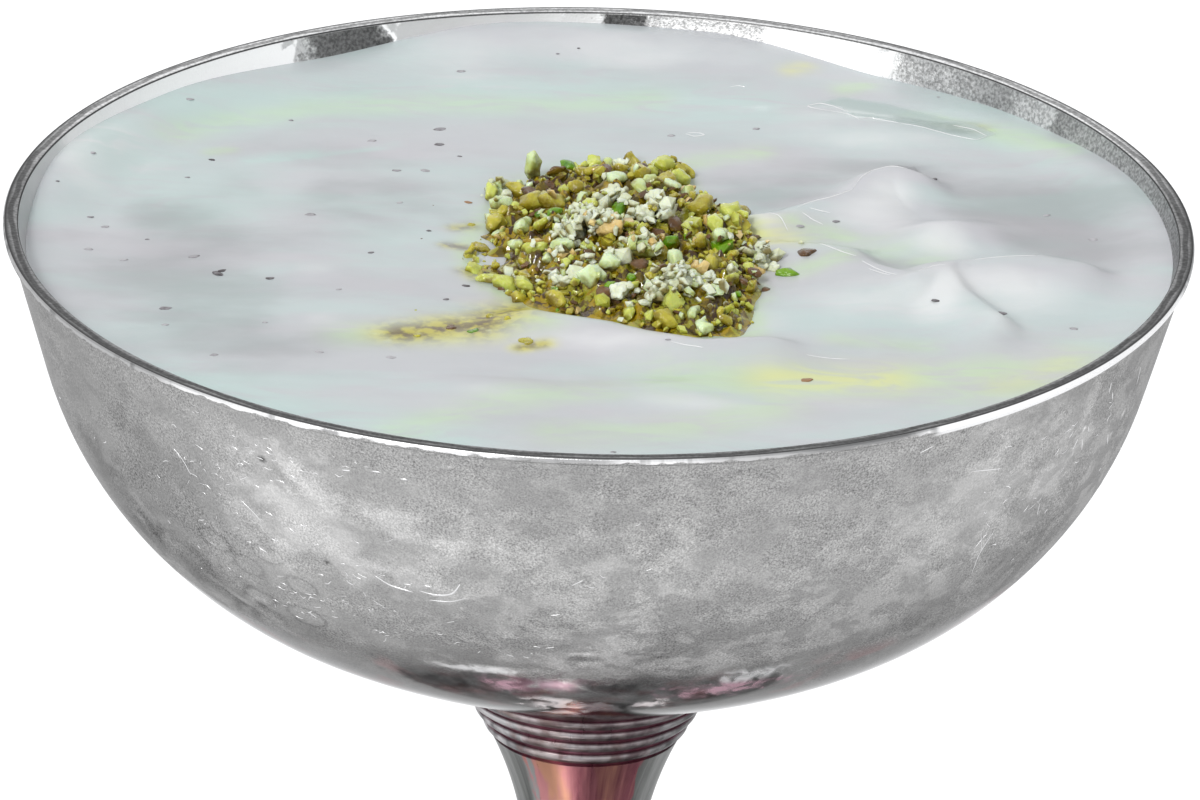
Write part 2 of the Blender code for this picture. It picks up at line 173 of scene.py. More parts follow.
# Crests of the cream, steeper at the back: front width, back width, height, points they run through
CRESTS = [
    (0.005, 0.0017, 0.0012, (
        (0.0171, 0.0096), (0.0217, 0.013), (0.0226, 0.0159), (0.0249, 0.0178), (0.027, 0.016),
    )),
    (0.0046, 0.0017, 0.0012, (
        (0.0284, -0.003), (0.0318, -0.0023), (0.0373, -0.0011), (0.0405, -0.0024),
    )),
    (0.0032, 0.0016, 0.0014, (
        (0.0268, -0.0062), (0.0291, -0.0042), (0.0304, -0.0086), (0.0336, -0.0146),
    )),
    (0.0056, 0.0017, 0.001, (
        (0.016, 0.002), (0.0191, 0.0016), (0.0212, 0.0007), (0.023, -0.0026), (0.0262, -0.0051),
    )),
    (0.0046, 0.0018, 0.0012, (
        (-0.005, -0.015), (0.0009, -0.0168), (0.004, -0.0186), (0.0088, -0.0206), (0.014, -0.02),
    )),
]

# How far below the rim the cream meets the wall, every 20 degrees from +X
EDGE_DROPS = [
    0.0017, 0.0015, 0.0021, 0.0025, 0.0011, 0.0008, 0.0021, 0.0014, 0.0009,
    0.0023, 0.0025, 0.0026, 0.0027, 0.0027, 0.0027, 0.0026, 0.0025, 0.0021,
]

# Streaks of colour in the cream: tint (0 yellow, 1 green, 2 mint), strength, width, points they run through
STREAKS = [
    (0, 0.72, 0.0028, ((0.015, -0.0266), (0.0182, -0.0262), (0.0212, -0.0258), (0.024, -0.0256))),
    (1, 0.72, 0.0034, ((0.006, -0.0268), (0.013, -0.0272), (0.023, -0.0262), (0.034, -0.0232))),
    (0, 0.32, 0.0022, ((0.034, -0.0262), (0.0372, -0.0244), (0.0392, -0.0216))),
    (1, 0.45, 0.0036, ((0.03, -0.028), (0.0362, -0.0256), (0.04, -0.0206))),
    (1, 0.5, 0.0022, ((-0.0159, -0.0393), (-0.011, -0.0356), (-0.0061, -0.0322), (0.001, -0.0302))),
    (1, 0.52, 0.0026, ((-0.0027, -0.0392), (0.004, -0.0386), (0.009, -0.0362), (0.015, -0.0326))),
    (2, 0.95, 0.0056, ((-0.036, 0.029), (-0.0174, 0.035), (0.0, 0.0362), (0.012, 0.034))),
    (1, 0.42, 0.0018, ((-0.0365, 0.024), (-0.0319, 0.0278), (-0.026, 0.0303))),
    (1, 0.42, 0.0022, ((-0.0254, 0.031), (-0.015, 0.0332), (-0.0037, 0.0331), (0.004, 0.0354))),
    (2, 1.0, 0.0012, ((-0.03, 0.019), (-0.0278, 0.0196), (-0.0246, 0.0206))),
    (2, 0.7, 0.0007, ((-0.0249, 0.0205), (-0.0214, 0.0212), (-0.0176, 0.0236))),
    (1, 0.45, 0.0008, ((-0.0334, 0.0206), (-0.0318, 0.0212))),
    (2, 0.4, 0.0036, ((0.023, 0.0245), (0.029, 0.0231), (0.037, 0.02))),
    (0, 0.5, 0.001, ((0.0162, 0.042), (0.0174, 0.0428))),
    (1, 0.6, 0.0012, ((0.021, 0.0386), (0.0226, 0.0396))),
    (1, 0.6, 0.0014, ((0.0076, 0.0212), (0.01, 0.0224), (0.0135, 0.024))),
    (2, 0.8, 0.0016, ((0.0225, 0.0334), (0.027, 0.032), (0.0345, 0.027))),
    (1, 0.9, 0.0007, ((0.0262, 0.0336), (0.029, 0.0328))),
    (0, 0.45, 0.0008, ((0.0306, 0.0309), (0.0324, 0.0301))),
    (1, 1.0, 0.0012, ((0.0288, 0.0318), (0.0332, 0.0296))),
    (1, 0.55, 0.0018, ((0.0332, 0.0296), (0.0366, 0.0276), (0.04, 0.0252))),
    (2, 0.65, 0.0026, ((0.033, 0.028), (0.0376, 0.0236), (0.041, 0.018))),
    (2, 0.6, 0.004, ((0.03, 0.038), (0.036, 0.033), (0.042, 0.025))),
    (2, 0.75, 0.006, ((-0.042, 0.023), (-0.039, 0.013), (-0.033, 0.007))),
    (2, 0.95, 0.0048, ((-0.036, -0.029), (-0.024, -0.037), (-0.012, -0.042))),
    (2, 0.6, 0.0044, ((0.005, -0.043), (0.018, -0.04), (0.03, -0.034))),
    (2, 0.4, 0.004, ((0.036, -0.03), (0.043, -0.021), (0.046, -0.012))),
    (2, 0.5, 0.004, ((-0.02, 0.008), (-0.013, 0.012), (-0.017, -0.002))),
    (1, 0.4, 0.0022, ((0.018, 0.004), (0.023, 0.003), (0.028, 0.0))),
    (0, 1.0, 0.0022, ((0.0092, 0.005), (0.0112, 0.0052), (0.0128, 0.0042))),
    (0, 0.66, 0.0022, ((0.0112, 0.0052), (0.0136, 0.0044), (0.0152, 0.0034))),
    (1, 0.6, 0.0014, ((0.0168, 0.007), (0.019, 0.006), (0.021, 0.0046))),
    (1, 0.55, 0.0014, ((0.017, -0.003), (0.019, -0.0016), (0.0206, -0.0006))),
    (2, 0.55, 0.004, ((0.017, -0.011), (0.022, -0.012), (0.029, -0.016))),
    (1, 0.4, 0.0014, ((0.02, -0.017), (0.024, -0.0178), (0.028, -0.0182))),
    (1, 0.6, 0.0024, ((-0.0205, -0.0192), (-0.015, -0.0186), (-0.009, -0.0172), (-0.005, -0.016))),
    (0, 0.7, 0.0016, ((-0.018, -0.019), (-0.014, -0.0184), (-0.01, -0.0176), (-0.007, -0.0156))),
    (0, 1.0, 0.003, ((-0.0058, -0.0126), (-0.0078, -0.014), (-0.01, -0.0166), (-0.012, -0.0172))),
    (0, 0.8, 0.0008, ((-0.0066, -0.0214), (-0.004, -0.0204))),
]

# Painted highlights on the cream's lumps (positive) and painted shade in its hollows and towards its sides
# (negative): centre x, centre y, half width, half depth, turn, strength
CREAM_PAINTED_LIGHT = [
    (0.025, 0.014, 0.0032, 0.0038, 20, 0.95),
    (0.0224, 0.0094, 0.004, 0.0038, 10, 0.6),
    (0.0296, 0.0034, 0.0034, 0.0032, 0, 0.76),
    (0.0346, -0.0066, 0.0052, 0.0038, -12, 0.74),
    (0.0395, -0.008, 0.0044, 0.004, -20, 0.45),
    (0.0288, -0.0096, 0.0018, 0.004, -22, 0.54),
    (0.0212, -0.01, 0.0062, 0.0044, -10, 0.6),
    (0.013, -0.013, 0.003, 0.003, 0, 0.3),
    (0.0235, 0.0268, 0.006, 0.003, -6, 0.62),
    (0.002, -0.02, 0.006, 0.0024, -5, 0.65),
    (-0.027, 0.0134, 0.0022, 0.0026, 0, 0.5),
    (-0.0239, -0.0061, 0.0022, 0.0022, 0, 0.4),
    (-0.0234, -0.0161, 0.0026, 0.002, 0, 0.45),
    (-0.0072, -0.0316, 0.0044, 0.002, -6, 0.45),
    (0.0078, -0.0318, 0.005, 0.0016, -4, 0.4),
    (-0.011, 0.039, 0.006, 0.005, 0, 0.55),
    (0.002, 0.044, 0.008, 0.003, 0, 0.4),
    (-0.044, 0.014, 0.003, 0.01, 12, 0.8),
    (-0.038, 0.008, 0.007, 0.007, 0, -0.4),
    (-0.035, -0.004, 0.009, 0.012, 10, -0.7),
    (-0.022, 0.015, 0.01, 0.008, 0, -0.35),
    (-0.03, -0.02, 0.009, 0.007, -20, -0.55),
    (0.04, 0.008, 0.007, 0.012, 0, -0.9),
    (0.033, 0.013, 0.007, 0.006, 0, -0.6),
    (0.015, 0.015, 0.008, 0.007, 0, -0.62),
    (0.0245, 0.0, 0.004, 0.0022, -20, -0.72),
    (0.018, -0.018, 0.008, 0.0022, 0, -0.3),
    (-0.002, -0.03, 0.01, 0.002, 0, -0.18),
    (0.0314, 0.0306, 0.002, 0.0012, -20, -0.8),
    (-0.02, 0.009, 0.007, 0.005, 0, -0.35),
    (0.024, 0.0206, 0.006, 0.004, 0, -0.55),
    (-0.04, 0.019, 0.004, 0.008, 30, 0.7),
    (0.0136, 0.0068, 0.003, 0.0018, -20, 0.8),
    (0.034, -0.015, 0.0024, 0.003, -60, 0.5),
    (0.03, -0.0118, 0.0026, 0.004, 25, 0.26),
]

# Nut-brown stains in the cream beside the topping: strength, width, the points they run through
STAINS = [
    (1.0, 0.0022, ((-0.016, -0.0186), (-0.014, -0.018), (-0.0116, -0.0168))),
    (1.0, 0.0025, ((-0.0066, -0.0128), (-0.0082, -0.0144), (-0.01, -0.017))),
    (0.75, 0.0012, ((-0.0132, -0.0176), (-0.0108, -0.0172), (-0.0088, -0.0162), (-0.0068, -0.0148))),
    (0.95, 0.0007, ((-0.0172, -0.0186), (-0.0164, -0.0186))),
    (0.85, 0.0008, ((-0.0118, -0.017), (-0.0104, -0.0166))),
    (0.75, 0.0007, ((-0.0062, -0.0212), (-0.0044, -0.0205))),
    (0.7, 0.0008, ((-0.0128, 0.0018), (-0.0112, 0.0016))),
    (0.6, 0.0009, ((-0.0112, -0.0036), (-0.01, -0.0052))),
    (0.6, 0.0008, ((-0.0122, 0.0056), (-0.0108, 0.0062))),
    (0.36, 0.0009, ((0.0304, 0.0309), (0.0322, 0.0301))),
]

# The topping's outline: how far it reaches from HEAP_CENTRE, every 20 degrees from +X
HEAP_CENTRE = (0.0022, 0.0008)
HEAP_REACH = [
    0.011, 0.0118, 0.0118, 0.0136, 0.0184, 0.0188, 0.0174, 0.0144, 0.0134,
    0.0134, 0.0132, 0.0135, 0.0142, 0.0152, 0.0184, 0.0202, 0.0146, 0.0116,
]

# How full the topping is in the same directions, and from what share of the way out, over what share
HEAP_LEFT_THIN = [
    1.0, 1.0, 1.0, 1.0, 1.0, 1.0, 1.0, 0.9, 0.5, 0.3, 0.4, 0.55, 0.8, 1.0, 1.0, 1.0, 1.0, 1.0,
]
THIN_FROM = 0.35
THIN_OVER = 0.5
THINNER_FROM = 0.6

# The wet paste: its thickness, how square its dome is, its bare patches, how deep they sink and it is rooted,
# and its noises (size, size, cut, strength)
HEAP_THICKNESS = 0.0023
HEAP_FULLNESS = 4.0
HEAP_PATCHES = 0.0012
HEAP_SUNK = 0.0002
HEAP_ROOT = 0.0012
HEAP_UNEVEN = [(0.0045, 0.0045, 0.0, 0.3), (0.0016, 0.0016, 2.0, 0.22)]
HEAP_EDGE_UNEVEN = [(0.0028, 0.0028, 5.0, 0.06)]
HEAP_PATCHY = [(0.0022, 0.0022, 9.0, 1.0)]

# Its bumps: height, size, the paste's thickness at which they are full, and how it ends
PASTE_BUMPS = 0.0008
PASTE_LUMP = 0.0015
BUMPY_FROM = 0.0008
PASTE_REACH = 1.03
PASTE_EDGE_SUNK = 0.00006
PASTE_UNDER_TOP = 0.0002

# The green halo that it leaves in the cream
HALO_STRENGTH = 0.55
HALO_WIDTH = 0.09

# Forms of the pieces: how many, points, softened edge; and how blocky, flat and crisp they are
CHOPPED_FORMS = (7, 15, 0.09)
CRUMB_FORMS = (5, 9, 0.0)
SPECK_FORMS = (4, 12, 0.2)
GOLDEN_ANGLE = 2.39996
BLOCKINESS = 0.35
FLAT_BELOW = math.radians(12)
CRISP_FROM = math.radians(38)

# How the pieces lie: rows apart, how far all stay under the CAD's top, and the one that stands upright
ROW_STEP = 0.866
UNDER_TOP = 0.0001
UPRIGHT_TURN = (0.18, -0.1, 0.6)
UPRIGHT_SUNK = 0.12

# Between the tops and the gaps of the lumps that the scatter gives the pieces
LUMP_MIDDLE = 0.45

# The inputs of the scatter, those that a shape gives, and the columns of its rows after the place
SCATTER_INPUTS = {
    "Points": "Geometry", "Forms": "Collection", "Detail": "Int", "Crumble size": "Float",
    "Crumble depth": "Float", "Lump size": "Float", "Lump depth": "Float", "Finish": "Material",
}
SHAPE_INPUTS = ("Detail", "Crumble size", "Crumble depth", "Lump size", "Lump depth")
ROW_COLUMNS = (("turn", "FLOAT_VECTOR"), ("size", "FLOAT_VECTOR"), ("form", "INT"), ("shade", "FLOAT"))

# Pieces of the topping that stand out: kind, x, y, length
LANDMARKS = [
    ("upright", -0.0058, 0.016, 0.0036), ("pale", -0.009, 0.0132, 0.0024), ("green", -0.0028, 0.018, 0.002),
    ("amber", 0.0028, 0.0202, 0.0027), ("pale", 0.0008, 0.019, 0.0024), ("pale", 0.0013, 0.0126, 0.0026),
    ("yellow", 0.005, 0.0192, 0.0024), ("amber", 0.0034, 0.0137, 0.0026), ("amber", 0.0072, 0.0184, 0.0026),
    ("pale", 0.0061, 0.0117, 0.0022), ("white", 0.0047, 0.0083, 0.0024), ("white", 0.0038, 0.0041, 0.0026),
    ("amber", -0.002, 0.0099, 0.0018), ("white", -0.0001, 0.0071, 0.0018), ("green", 0.0016, 0.0053, 0.0026),
    ("skin", 0.0064, 0.0036, 0.0026), ("amber", 0.0086, 0.0066, 0.0028), ("amber", 0.012, 0.0092, 0.002),
    ("white", -0.0022, 0.0013, 0.003), ("white", -0.0004, 0.0024, 0.0028), ("peach", 0.001, -0.0002, 0.0028),
    ("pale", -0.0065, 0.0043, 0.0032), ("pale", -0.0069, 0.0009, 0.0024), ("pale", 0.0039, -0.0032, 0.0036),
    ("green", 0.0061, -0.0006, 0.0021), ("pale", 0.0065, -0.005, 0.0026), ("peach", 0.0081, -0.0062, 0.0016),
    ("amber", 0.0096, -0.0053, 0.0024), ("white", 0.0112, -0.0063, 0.0017),
    ("pale", -0.0006, -0.0092, 0.0032), ("pale", 0.0009, -0.006, 0.0026), ("pale", -0.0043, -0.0031, 0.0018),
    ("white", -0.0031, -0.0087, 0.002), ("amber", -0.0034, -0.0112, 0.0026),
    ("green", 0.0028, -0.0088, 0.0013), ("white", 0.0019, -0.0117, 0.0028), ("white", 0.0068, -0.0107, 0.003),
    ("white", 0.0049, -0.0123, 0.0026), ("pale", 0.01, -0.011, 0.0022), ("pale", 0.0081, -0.0148, 0.0022),
    ("pale", 0.009, -0.0166, 0.0021), ("amber", 0.0108, -0.0154, 0.0022),
    ("yellow", -0.0078, -0.0066, 0.0026), ("yellow", -0.0062, -0.008, 0.0024),
    ("amber", -0.01, 0.0018, 0.002), ("skin", -0.0044, 0.0124, 0.002), ("green", -0.0038, 0.0048, 0.0018),
    ("skin", 0.0035, -0.0061, 0.002), ("skin", -0.0009, -0.003, 0.0018), ("skin", 0.0005, -0.0117, 0.002),
    ("skin", -0.0038, -0.0064, 0.002), ("green", 0.0118, -0.0104, 0.0014), ("pale", 0.0103, -0.0008, 0.002),
    ("amber", 0.0086, -0.0013, 0.0022), ("green", 0.0102, 0.0042, 0.0014),
    ("yellow", -0.0092, -0.0052, 0.0024), ("yellow", -0.0104, -0.0034, 0.0018),
    ("yellow", -0.0092, 0.0124, 0.0022), ("amber", -0.007, 0.0118, 0.0022), ("skin", -0.0036, 0.0146, 0.0026),
    ("amber", -0.0012, 0.015, 0.002), ("yellow", -0.0006, 0.02, 0.002), ("skin", 0.0004, 0.0146, 0.002),
    ("green", 0.001, -0.0106, 0.0016), ("yellow", 0.0112, -0.008, 0.0022), ("yellow", 0.0098, 0.0022, 0.0024),
    ("amber", 0.0112, 0.0036, 0.0022), ("amber", 0.013, 0.0016, 0.002), ("skin", 0.0052, -0.008, 0.0018),
]

# Pieces that lie on the cream beside the topping: kind, x, y, length
LOOSE_PIECES = [
    ("skin", -0.0172, -0.0187, 0.0009), ("yellow", -0.0151, -0.0134, 0.0008),
    ("skin", -0.0138, -0.0186, 0.0009), ("skin", -0.0121, -0.0172, 0.0014),
    ("green", -0.0104, -0.0179, 0.0018), ("amber", -0.0058, -0.02, 0.0016),
    ("amber", -0.015, -0.0191, 0.0011), ("amber", -0.0112, -0.0164, 0.0011), ("skin", 0.0176, 0.0002, 0.0021),
    ("green", 0.016, -0.0034, 0.0024), ("white", 0.0172, 0.002, 0.0007), ("skin", -0.015, 0.0028, 0.001),
    ("skin", -0.0142, 0.01, 0.0013), ("skin", -0.015, -0.0076, 0.001), ("white", 0.0138, -0.0008, 0.0022),
    ("white", 0.0147, -0.0022, 0.0018), ("peach", 0.0135, -0.0026, 0.0018), ("skin", 0.0132, -0.0054, 0.0019),
    ("skin", 0.0142, -0.0066, 0.0011), ("amber", -0.0108, 0.0066, 0.0014),
    ("amber", -0.0088, -0.0146, 0.0014), ("amber", -0.0074, -0.016, 0.0012),
]

# Crumbs: how they are shaped, the share of each kind, and where pale ones gather (x, y, reach, how many)
CRUMB_SHAPE = (1, 0.0004, 0.00018, 0.0004, 0.0001)
CRUMB_SHARES = {
    "pale": 0.36, "yellow": 0.14, "amber": 0.1, "white": 0.24, "green": 0.03, "skin": 0.05, "peach": 0.08,
}
FILL_SHARES = {
    "pale": 0.06, "yellow": 0.22, "amber": 0.46, "white": 0.0, "green": 0.02, "skin": 0.22, "peach": 0.02,
}
CLUSTER_SHARES = {"white": 0.84, "pale": 0.1, "peach": 0.06}
CRUMB_CLUSTERS = [
    (-0.0014, 0.0014, 0.0014, 64), (0.0006, 0.0, 0.0011, 30), (0.0068, -0.0106, 0.0012, 40),
    (0.0049, -0.0122, 0.0008, 12), (0.014, -0.0012, 0.0006, 20), (-0.009, 0.0136, 0.0008, 10),
    (0.0016, 0.0064, 0.0012, 22), (0.0046, 0.005, 0.001, 18), (-0.0026, -0.007, 0.0008, 8),
    (-0.003, -0.002, 0.0016, 18), (0.003, -0.003, 0.0012, 14), (0.0048, -0.004, 0.0009, 10),
    (0.01, -0.0118, 0.0007, 8),
]

# Specks in the cream: how they are shaped; x, y, length, tone (0 dark to 1 faint, -1 nut brown)
SPECK_SHAPE = (0, 0.0004, 0.00008, 0.0004, 0.0)
SPECK_HALF_HEIGHT = 0.00006
SPECK_SEED = 5
SPECKS = [
    (-0.0332, 0.0188, 0.0008, 0.0), (-0.0319, -0.0068, 0.0015, 0.1), (-0.0316, -0.0062, 0.001, 0.0),
    (-0.0275, -0.0079, 0.001, 0.2), (-0.0361, -0.0144, 0.0014, 0.4), (-0.0341, -0.003, 0.0013, 0.6),
    (-0.0355, 0.0301, 0.001, 0.7), (-0.0352, 0.0146, 0.0006, 0.7), (-0.0267, 0.0282, 0.0006, 0.5),
    (-0.0197, 0.0241, 0.001, 0.8), (-0.0245, 0.0068, 0.0012, 0.7), (-0.0431, 0.0048, 0.0008, 0.6),
    (-0.0418, 0.0031, 0.0009, 0.8), (-0.0381, 0.0005, 0.0006, 0.5), (-0.0192, -0.0009, 0.0007, 0.3),
    (-0.0461, 0.0102, 0.0005, 0.4), (-0.0434, 0.0163, 0.0008, 0.8), (-0.0144, 0.0046, 0.0006, 0.3),
    (-0.0317, -0.0241, 0.001, 0.7), (-0.0217, -0.0096, 0.0007, 0.8), (-0.0139, 0.0273, 0.0014, 0.5),
    (-0.0139, 0.0238, 0.0012, 0.2), (-0.0121, 0.021, 0.0006, 0.3), (-0.0174, 0.0174, 0.001, 0.6),
    (-0.0123, 0.0406, 0.001, 0.8), (-0.0112, 0.0111, 0.001, -1.0), (-0.0111, -0.0069, 0.001, 0.0),
    (-0.0127, -0.0103, 0.0007, 0.2), (-0.0022, 0.0448, 0.0004, 0.2), (0.0285, 0.018, 0.001, 0.1),
    (0.0285, -0.0103, 0.0011, 0.1), (0.0338, -0.0134, 0.0014, 0.3), (0.0017, -0.0428, 0.0007, 0.5),
    (0.006, -0.0205, 0.0006, 0.7), (0.0133, 0.0288, 0.0009, 0.6), (-0.017, 0.0102, 0.0008, 0.8),
    (-0.0277, -0.0171, 0.0006, 0.8), (0.0176, -0.0266, 0.0015, -1.0), (-0.04, -0.004, 0.001, 0.9),
    (-0.036, -0.018, 0.0008, 0.9), (0.006, 0.027, 0.0009, 0.8), (0.042, 0.006, 0.0012, 0.9),
    (0.038, 0.011, 0.0009, 0.9), (-0.015, 0.0176, 0.0012, 0.8), (-0.004, 0.044, 0.0004, 0.5),
    (0.04, -0.014, 0.001, 0.8), (-0.023, -0.023, 0.001, 0.9), (-0.017, -0.024, 0.0012, 0.9),
    (0.029, 0.0372, 0.0004, 0.6), (0.017, 0.006, 0.0011, 0.7), (-0.043, -0.002, 0.001, 0.9),
    (0.0201, 0.0076, 0.0009, 0.4),
]

# The wet film at the back right of the cream, as its outline
WET_FILM = (
    (0.0176, 0.035), (0.019, 0.0357), (0.0206, 0.0352), (0.0212, 0.033), (0.0216, 0.031), (0.0226, 0.0316),
    (0.0242, 0.0312), (0.027, 0.0303), (0.03, 0.0284), (0.0322, 0.0276), (0.034, 0.029), (0.0322, 0.0312),
    (0.0286, 0.0335), (0.0246, 0.0357), (0.0206, 0.037),
)
WET_EDGE = 0.0008

# Thin glossy ridges on the cream, lighter than it as a painted highlight: half width, the points they run
# through
CREAM_RIDGES = [
    (0.0001, ((0.0168, 0.0094), (0.018, 0.0108), (0.0196, 0.0116), (0.0206, 0.0124), (0.0216, 0.0134))),
    (0.00008, ((0.0216, 0.0136), (0.0222, 0.0152), (0.0232, 0.0168), (0.0246, 0.0178), (0.0262, 0.0174))),
    (0.00008, ((0.0172, 0.0084), (0.018, 0.0074), (0.019, 0.0068))),
    (0.00006, ((0.0178, 0.0094), (0.0188, 0.009), (0.0196, 0.0088))),
    (0.00009, ((0.0186, 0.0022), (0.0196, 0.0012), (0.0206, 0.0002), (0.0218, -0.0008))),
    (0.00009, ((0.0222, -0.0018), (0.0232, -0.0034), (0.0242, -0.0046), (0.0252, -0.0053))),
    (0.00007, ((0.0228, -0.0038), (0.0238, -0.0048), (0.0246, -0.0053))),
    (0.00008, ((0.0176, -0.0216), (0.019, -0.0215), (0.0212, -0.0213))),
    (0.00009, ((0.0136, 0.0086), (0.0146, 0.008), (0.0154, 0.0068), (0.016, 0.0052))),
    (0.00007, ((0.0318, -0.0024), (0.0345, -0.0016), (0.037, -0.0012))),
    (0.00007, ((0.027, -0.0056), (0.0282, -0.0044), (0.0293, -0.0044))),
    (0.00008, ((0.0072, 0.0276), (0.008, 0.027), (0.0089, 0.0274), (0.0084, 0.0279), (0.0074, 0.0279))),
    (0.0001, (
        (0.0212, 0.0338), (0.02, 0.0352), (0.0188, 0.0358), (0.0176, 0.035), (0.0182, 0.0342),
        (0.0196, 0.0336),
    )),
    (0.00011, ((0.0196, 0.0336), (0.021, 0.0328), (0.0217, 0.0316), (0.0222, 0.0306))),
    (0.0001, ((0.0222, 0.0306), (0.023, 0.0316), (0.0246, 0.0311), (0.0256, 0.0307))),
    (0.00007, ((0.0256, 0.0307), (0.0276, 0.03), (0.03, 0.0284), (0.0322, 0.0276), (0.0331, 0.0286))),
    (0.00006, ((0.0331, 0.0286), (0.032, 0.0302), (0.0302, 0.0313))),
    (0.00006, ((0.011, 0.0386), (0.0117, 0.0388), (0.0123, 0.0386))),
    (0.00006, ((0.0062, -0.0208), (0.0074, -0.0214), (0.009, -0.0218))),
]
RIDGE_HEIGHT = 0.00004
RIDGE_SLIM = 0.74

# Section of a ridge or scratch, in half widths and heights
STRIP_SECTION = ((-1.0, -0.2), (-0.55, 0.7), (0.0, 1.0), (0.55, 0.7), (1.0, -0.2), (0.0, -0.8))

# Scratches on the bowl: half width, points as (degrees round from the front, height)
BOWL_SCRATCHES = [
    (0.0001, ((-22.8, 0.0779), (-21.2, 0.0771), (-19.6, 0.0769), (-18.6, 0.0768))),
    (0.00012, ((-18.0, 0.0771), (-16.0, 0.0768), (-14.2, 0.0772), (-13.4, 0.0784))),
    (0.00006, ((-17.2, 0.0762), (-14.6, 0.0763), (-12.8, 0.077))),
    (0.00009, ((-24.9, 0.0882), (-24.0, 0.0883))),
    (0.00009, ((-21.7, 0.0887), (-20.8, 0.0887))),
    (0.00009, ((-18.8, 0.0884), (-18.0, 0.0884))),
    (0.00006, ((40.4, 0.0864), (42.6, 0.086), (44.8, 0.0856))),
    (0.00004, ((46.0, 0.0742), (45.4, 0.0768), (46.6, 0.079))),
    (0.00003, ((44.2, 0.0776), (44.9, 0.0784), (45.6, 0.079))),
    (0.00003, ((45.6, 0.0772), (44.9, 0.0784), (44.4, 0.0794))),
    (0.00008, ((-1.8, 0.0792), (-0.6, 0.0798))),
    (0.00008, ((33.0, 0.0898), (34.6, 0.0903))),
    (0.00006, ((-46.6, 0.085), (-45.4, 0.0842), (-44.6, 0.0828))),
    (0.00006, ((-38.0, 0.0822), (-36.6, 0.0814), (-35.6, 0.0806))),
]
SCRATCH_HEIGHT = 0.000025
SLOPE_STEP = 0.0005

# Where smaller scratches gather: degrees from the front, spread, height, spread, lean, how many
SCRATCH_AREAS = [
    (-42, 9, 0.083, 0.005, 0.0003, 46), (-26, 8, 0.0765, 0.0045, 0.0003, 34),
    (-36, 9, 0.0868, 0.0025, 0.0002, 14), (-30, 14, 0.089, 0.001, 0.0001, 12),
    (-34, 8, 0.0725, 0.0025, 0.0002, 22), (60, 7, 0.0845, 0.004, 0.001, 20),
    (50, 8, 0.083, 0.005, 0.0003, 20), (0, 15, 0.078, 0.006, 0.0003, 6), (-10, 8, 0.0715, 0.002, 0.0002, 8),
    (180, 60, 0.08, 0.007, 0.0003, 90), (-100, 30, 0.078, 0.006, 0.0003, 46),
    (100, 30, 0.078, 0.006, 0.0003, 34),
]
SCRATCHED = (0.07, 0.0905)
SCRATCH_BOW = 0.00012
SCRATCH_SEED = 21

# Painted highlights and painted shade of the bowl: soft bright clouds, darker areas, and the light and shade
# of
# dents and pits: degrees from the front, height, half girth, half height, gain
BOWL_PAINTED_LIGHT = [
    (-30.0, 0.082, 0.0076, 0.006, 0.46),
    (-16.0, 0.086, 0.007, 0.005, 0.1),
    (-33.0, 0.088, 0.008, 0.0032, 0.12),
    (-17.0, 0.08, 0.006, 0.004, 0.12),
    (0.0, 0.079, 0.013, 0.006, 0.15),
    (0.0, 0.0702, 0.012, 0.0026, 0.26),
    (42.0, 0.0838, 0.0066, 0.0068, 0.24),
    (54.0, 0.0868, 0.008, 0.004, 0.12),
    (28.0, 0.069, 0.008, 0.003, 0.12),
    (5.0, 0.0718, 0.011, 0.003, 0.1),
    (-50.0, 0.079, 0.009, 0.01, -0.2),
    (14.0, 0.08, 0.012, 0.007, 0.05),
    (62.0, 0.083, 0.008, 0.008, 0.14),
    (32.0, 0.0682, 0.011, 0.003, -0.18),
    (46.0, 0.0708, 0.008, 0.0034, -0.14),
    (58.0, 0.0742, 0.007, 0.004, -0.22),
    (-34.0, 0.0682, 0.01, 0.0024, -0.2),
    (-52.0, 0.0716, 0.008, 0.0034, -0.22),
    (-64.0, 0.0755, 0.007, 0.005, -0.2),
    (150.0, 0.082, 0.009, 0.006, 0.2),
    (-130.0, 0.084, 0.007, 0.006, 0.16),
    (-34.1, 0.0872, 0.0005, 0.0004, -0.8),
    (-28.3, 0.0782, 0.0005, 0.0004, -0.8),
    (-0.6, 0.0708, 0.0017, 0.0004, -0.5),
    (8.2, 0.071, 0.0017, 0.0004, -0.5),
    (-0.6, 0.0714, 0.0015, 0.0002, 0.6),
    (8.2, 0.0716, 0.0015, 0.0002, 0.6),
    (68.6, 0.0838, 0.0004, 0.0004, 0.8),
    (58.0, 0.0857, 0.0003, 0.0003, 0.8),
]

# Oval hammer marks of the bowl, as painted shade along their edges and a faint painted highlight inside:
# degrees from the front, height, half girth, half height
HAMMER_MARKS_PAINTED = [
    (-40.2, 0.0714, 0.0018, 0.001), (-34.0, 0.0708, 0.0021, 0.001), (-39.8, 0.075, 0.0017, 0.0011),
    (-32.6, 0.0746, 0.0017, 0.001), (-43.6, 0.0766, 0.0018, 0.0012), (-36.0, 0.0772, 0.0016, 0.0009),
    (150.0, 0.076, 0.0022, 0.0012), (157.0, 0.0742, 0.0019, 0.001), (-120.0, 0.075, 0.002, 0.0011),
]

# Between which directions the bowl's patches go from soft to clear
PATCHY_FROM = (math.radians(-28), math.radians(-4))
CLEAR_FROM = (math.radians(-8), math.radians(10))

# Sizes of the bowl's patches, clouds, grain and its unevenness, and of the dots on its inner face
PATCH_STRETCH = (1.0, 1.0, 1.4)
PATCH_SIZE = 0.003
CLOUD_SIZE = 0.018
SPOT_WAVER_SIZE = 0.0042
FINE_SIZE = 0.00016
COARSE_SIZE = 0.005
DOT_SIZE = 0.00028
GRAIN_GAIN = 2.0
HALF_FROST = (0.45, 0.45, 0.45)

# Where a soft spot is gone and where it is full, in shares of its half size
SPOT_EDGE = (1.35, 0.15)

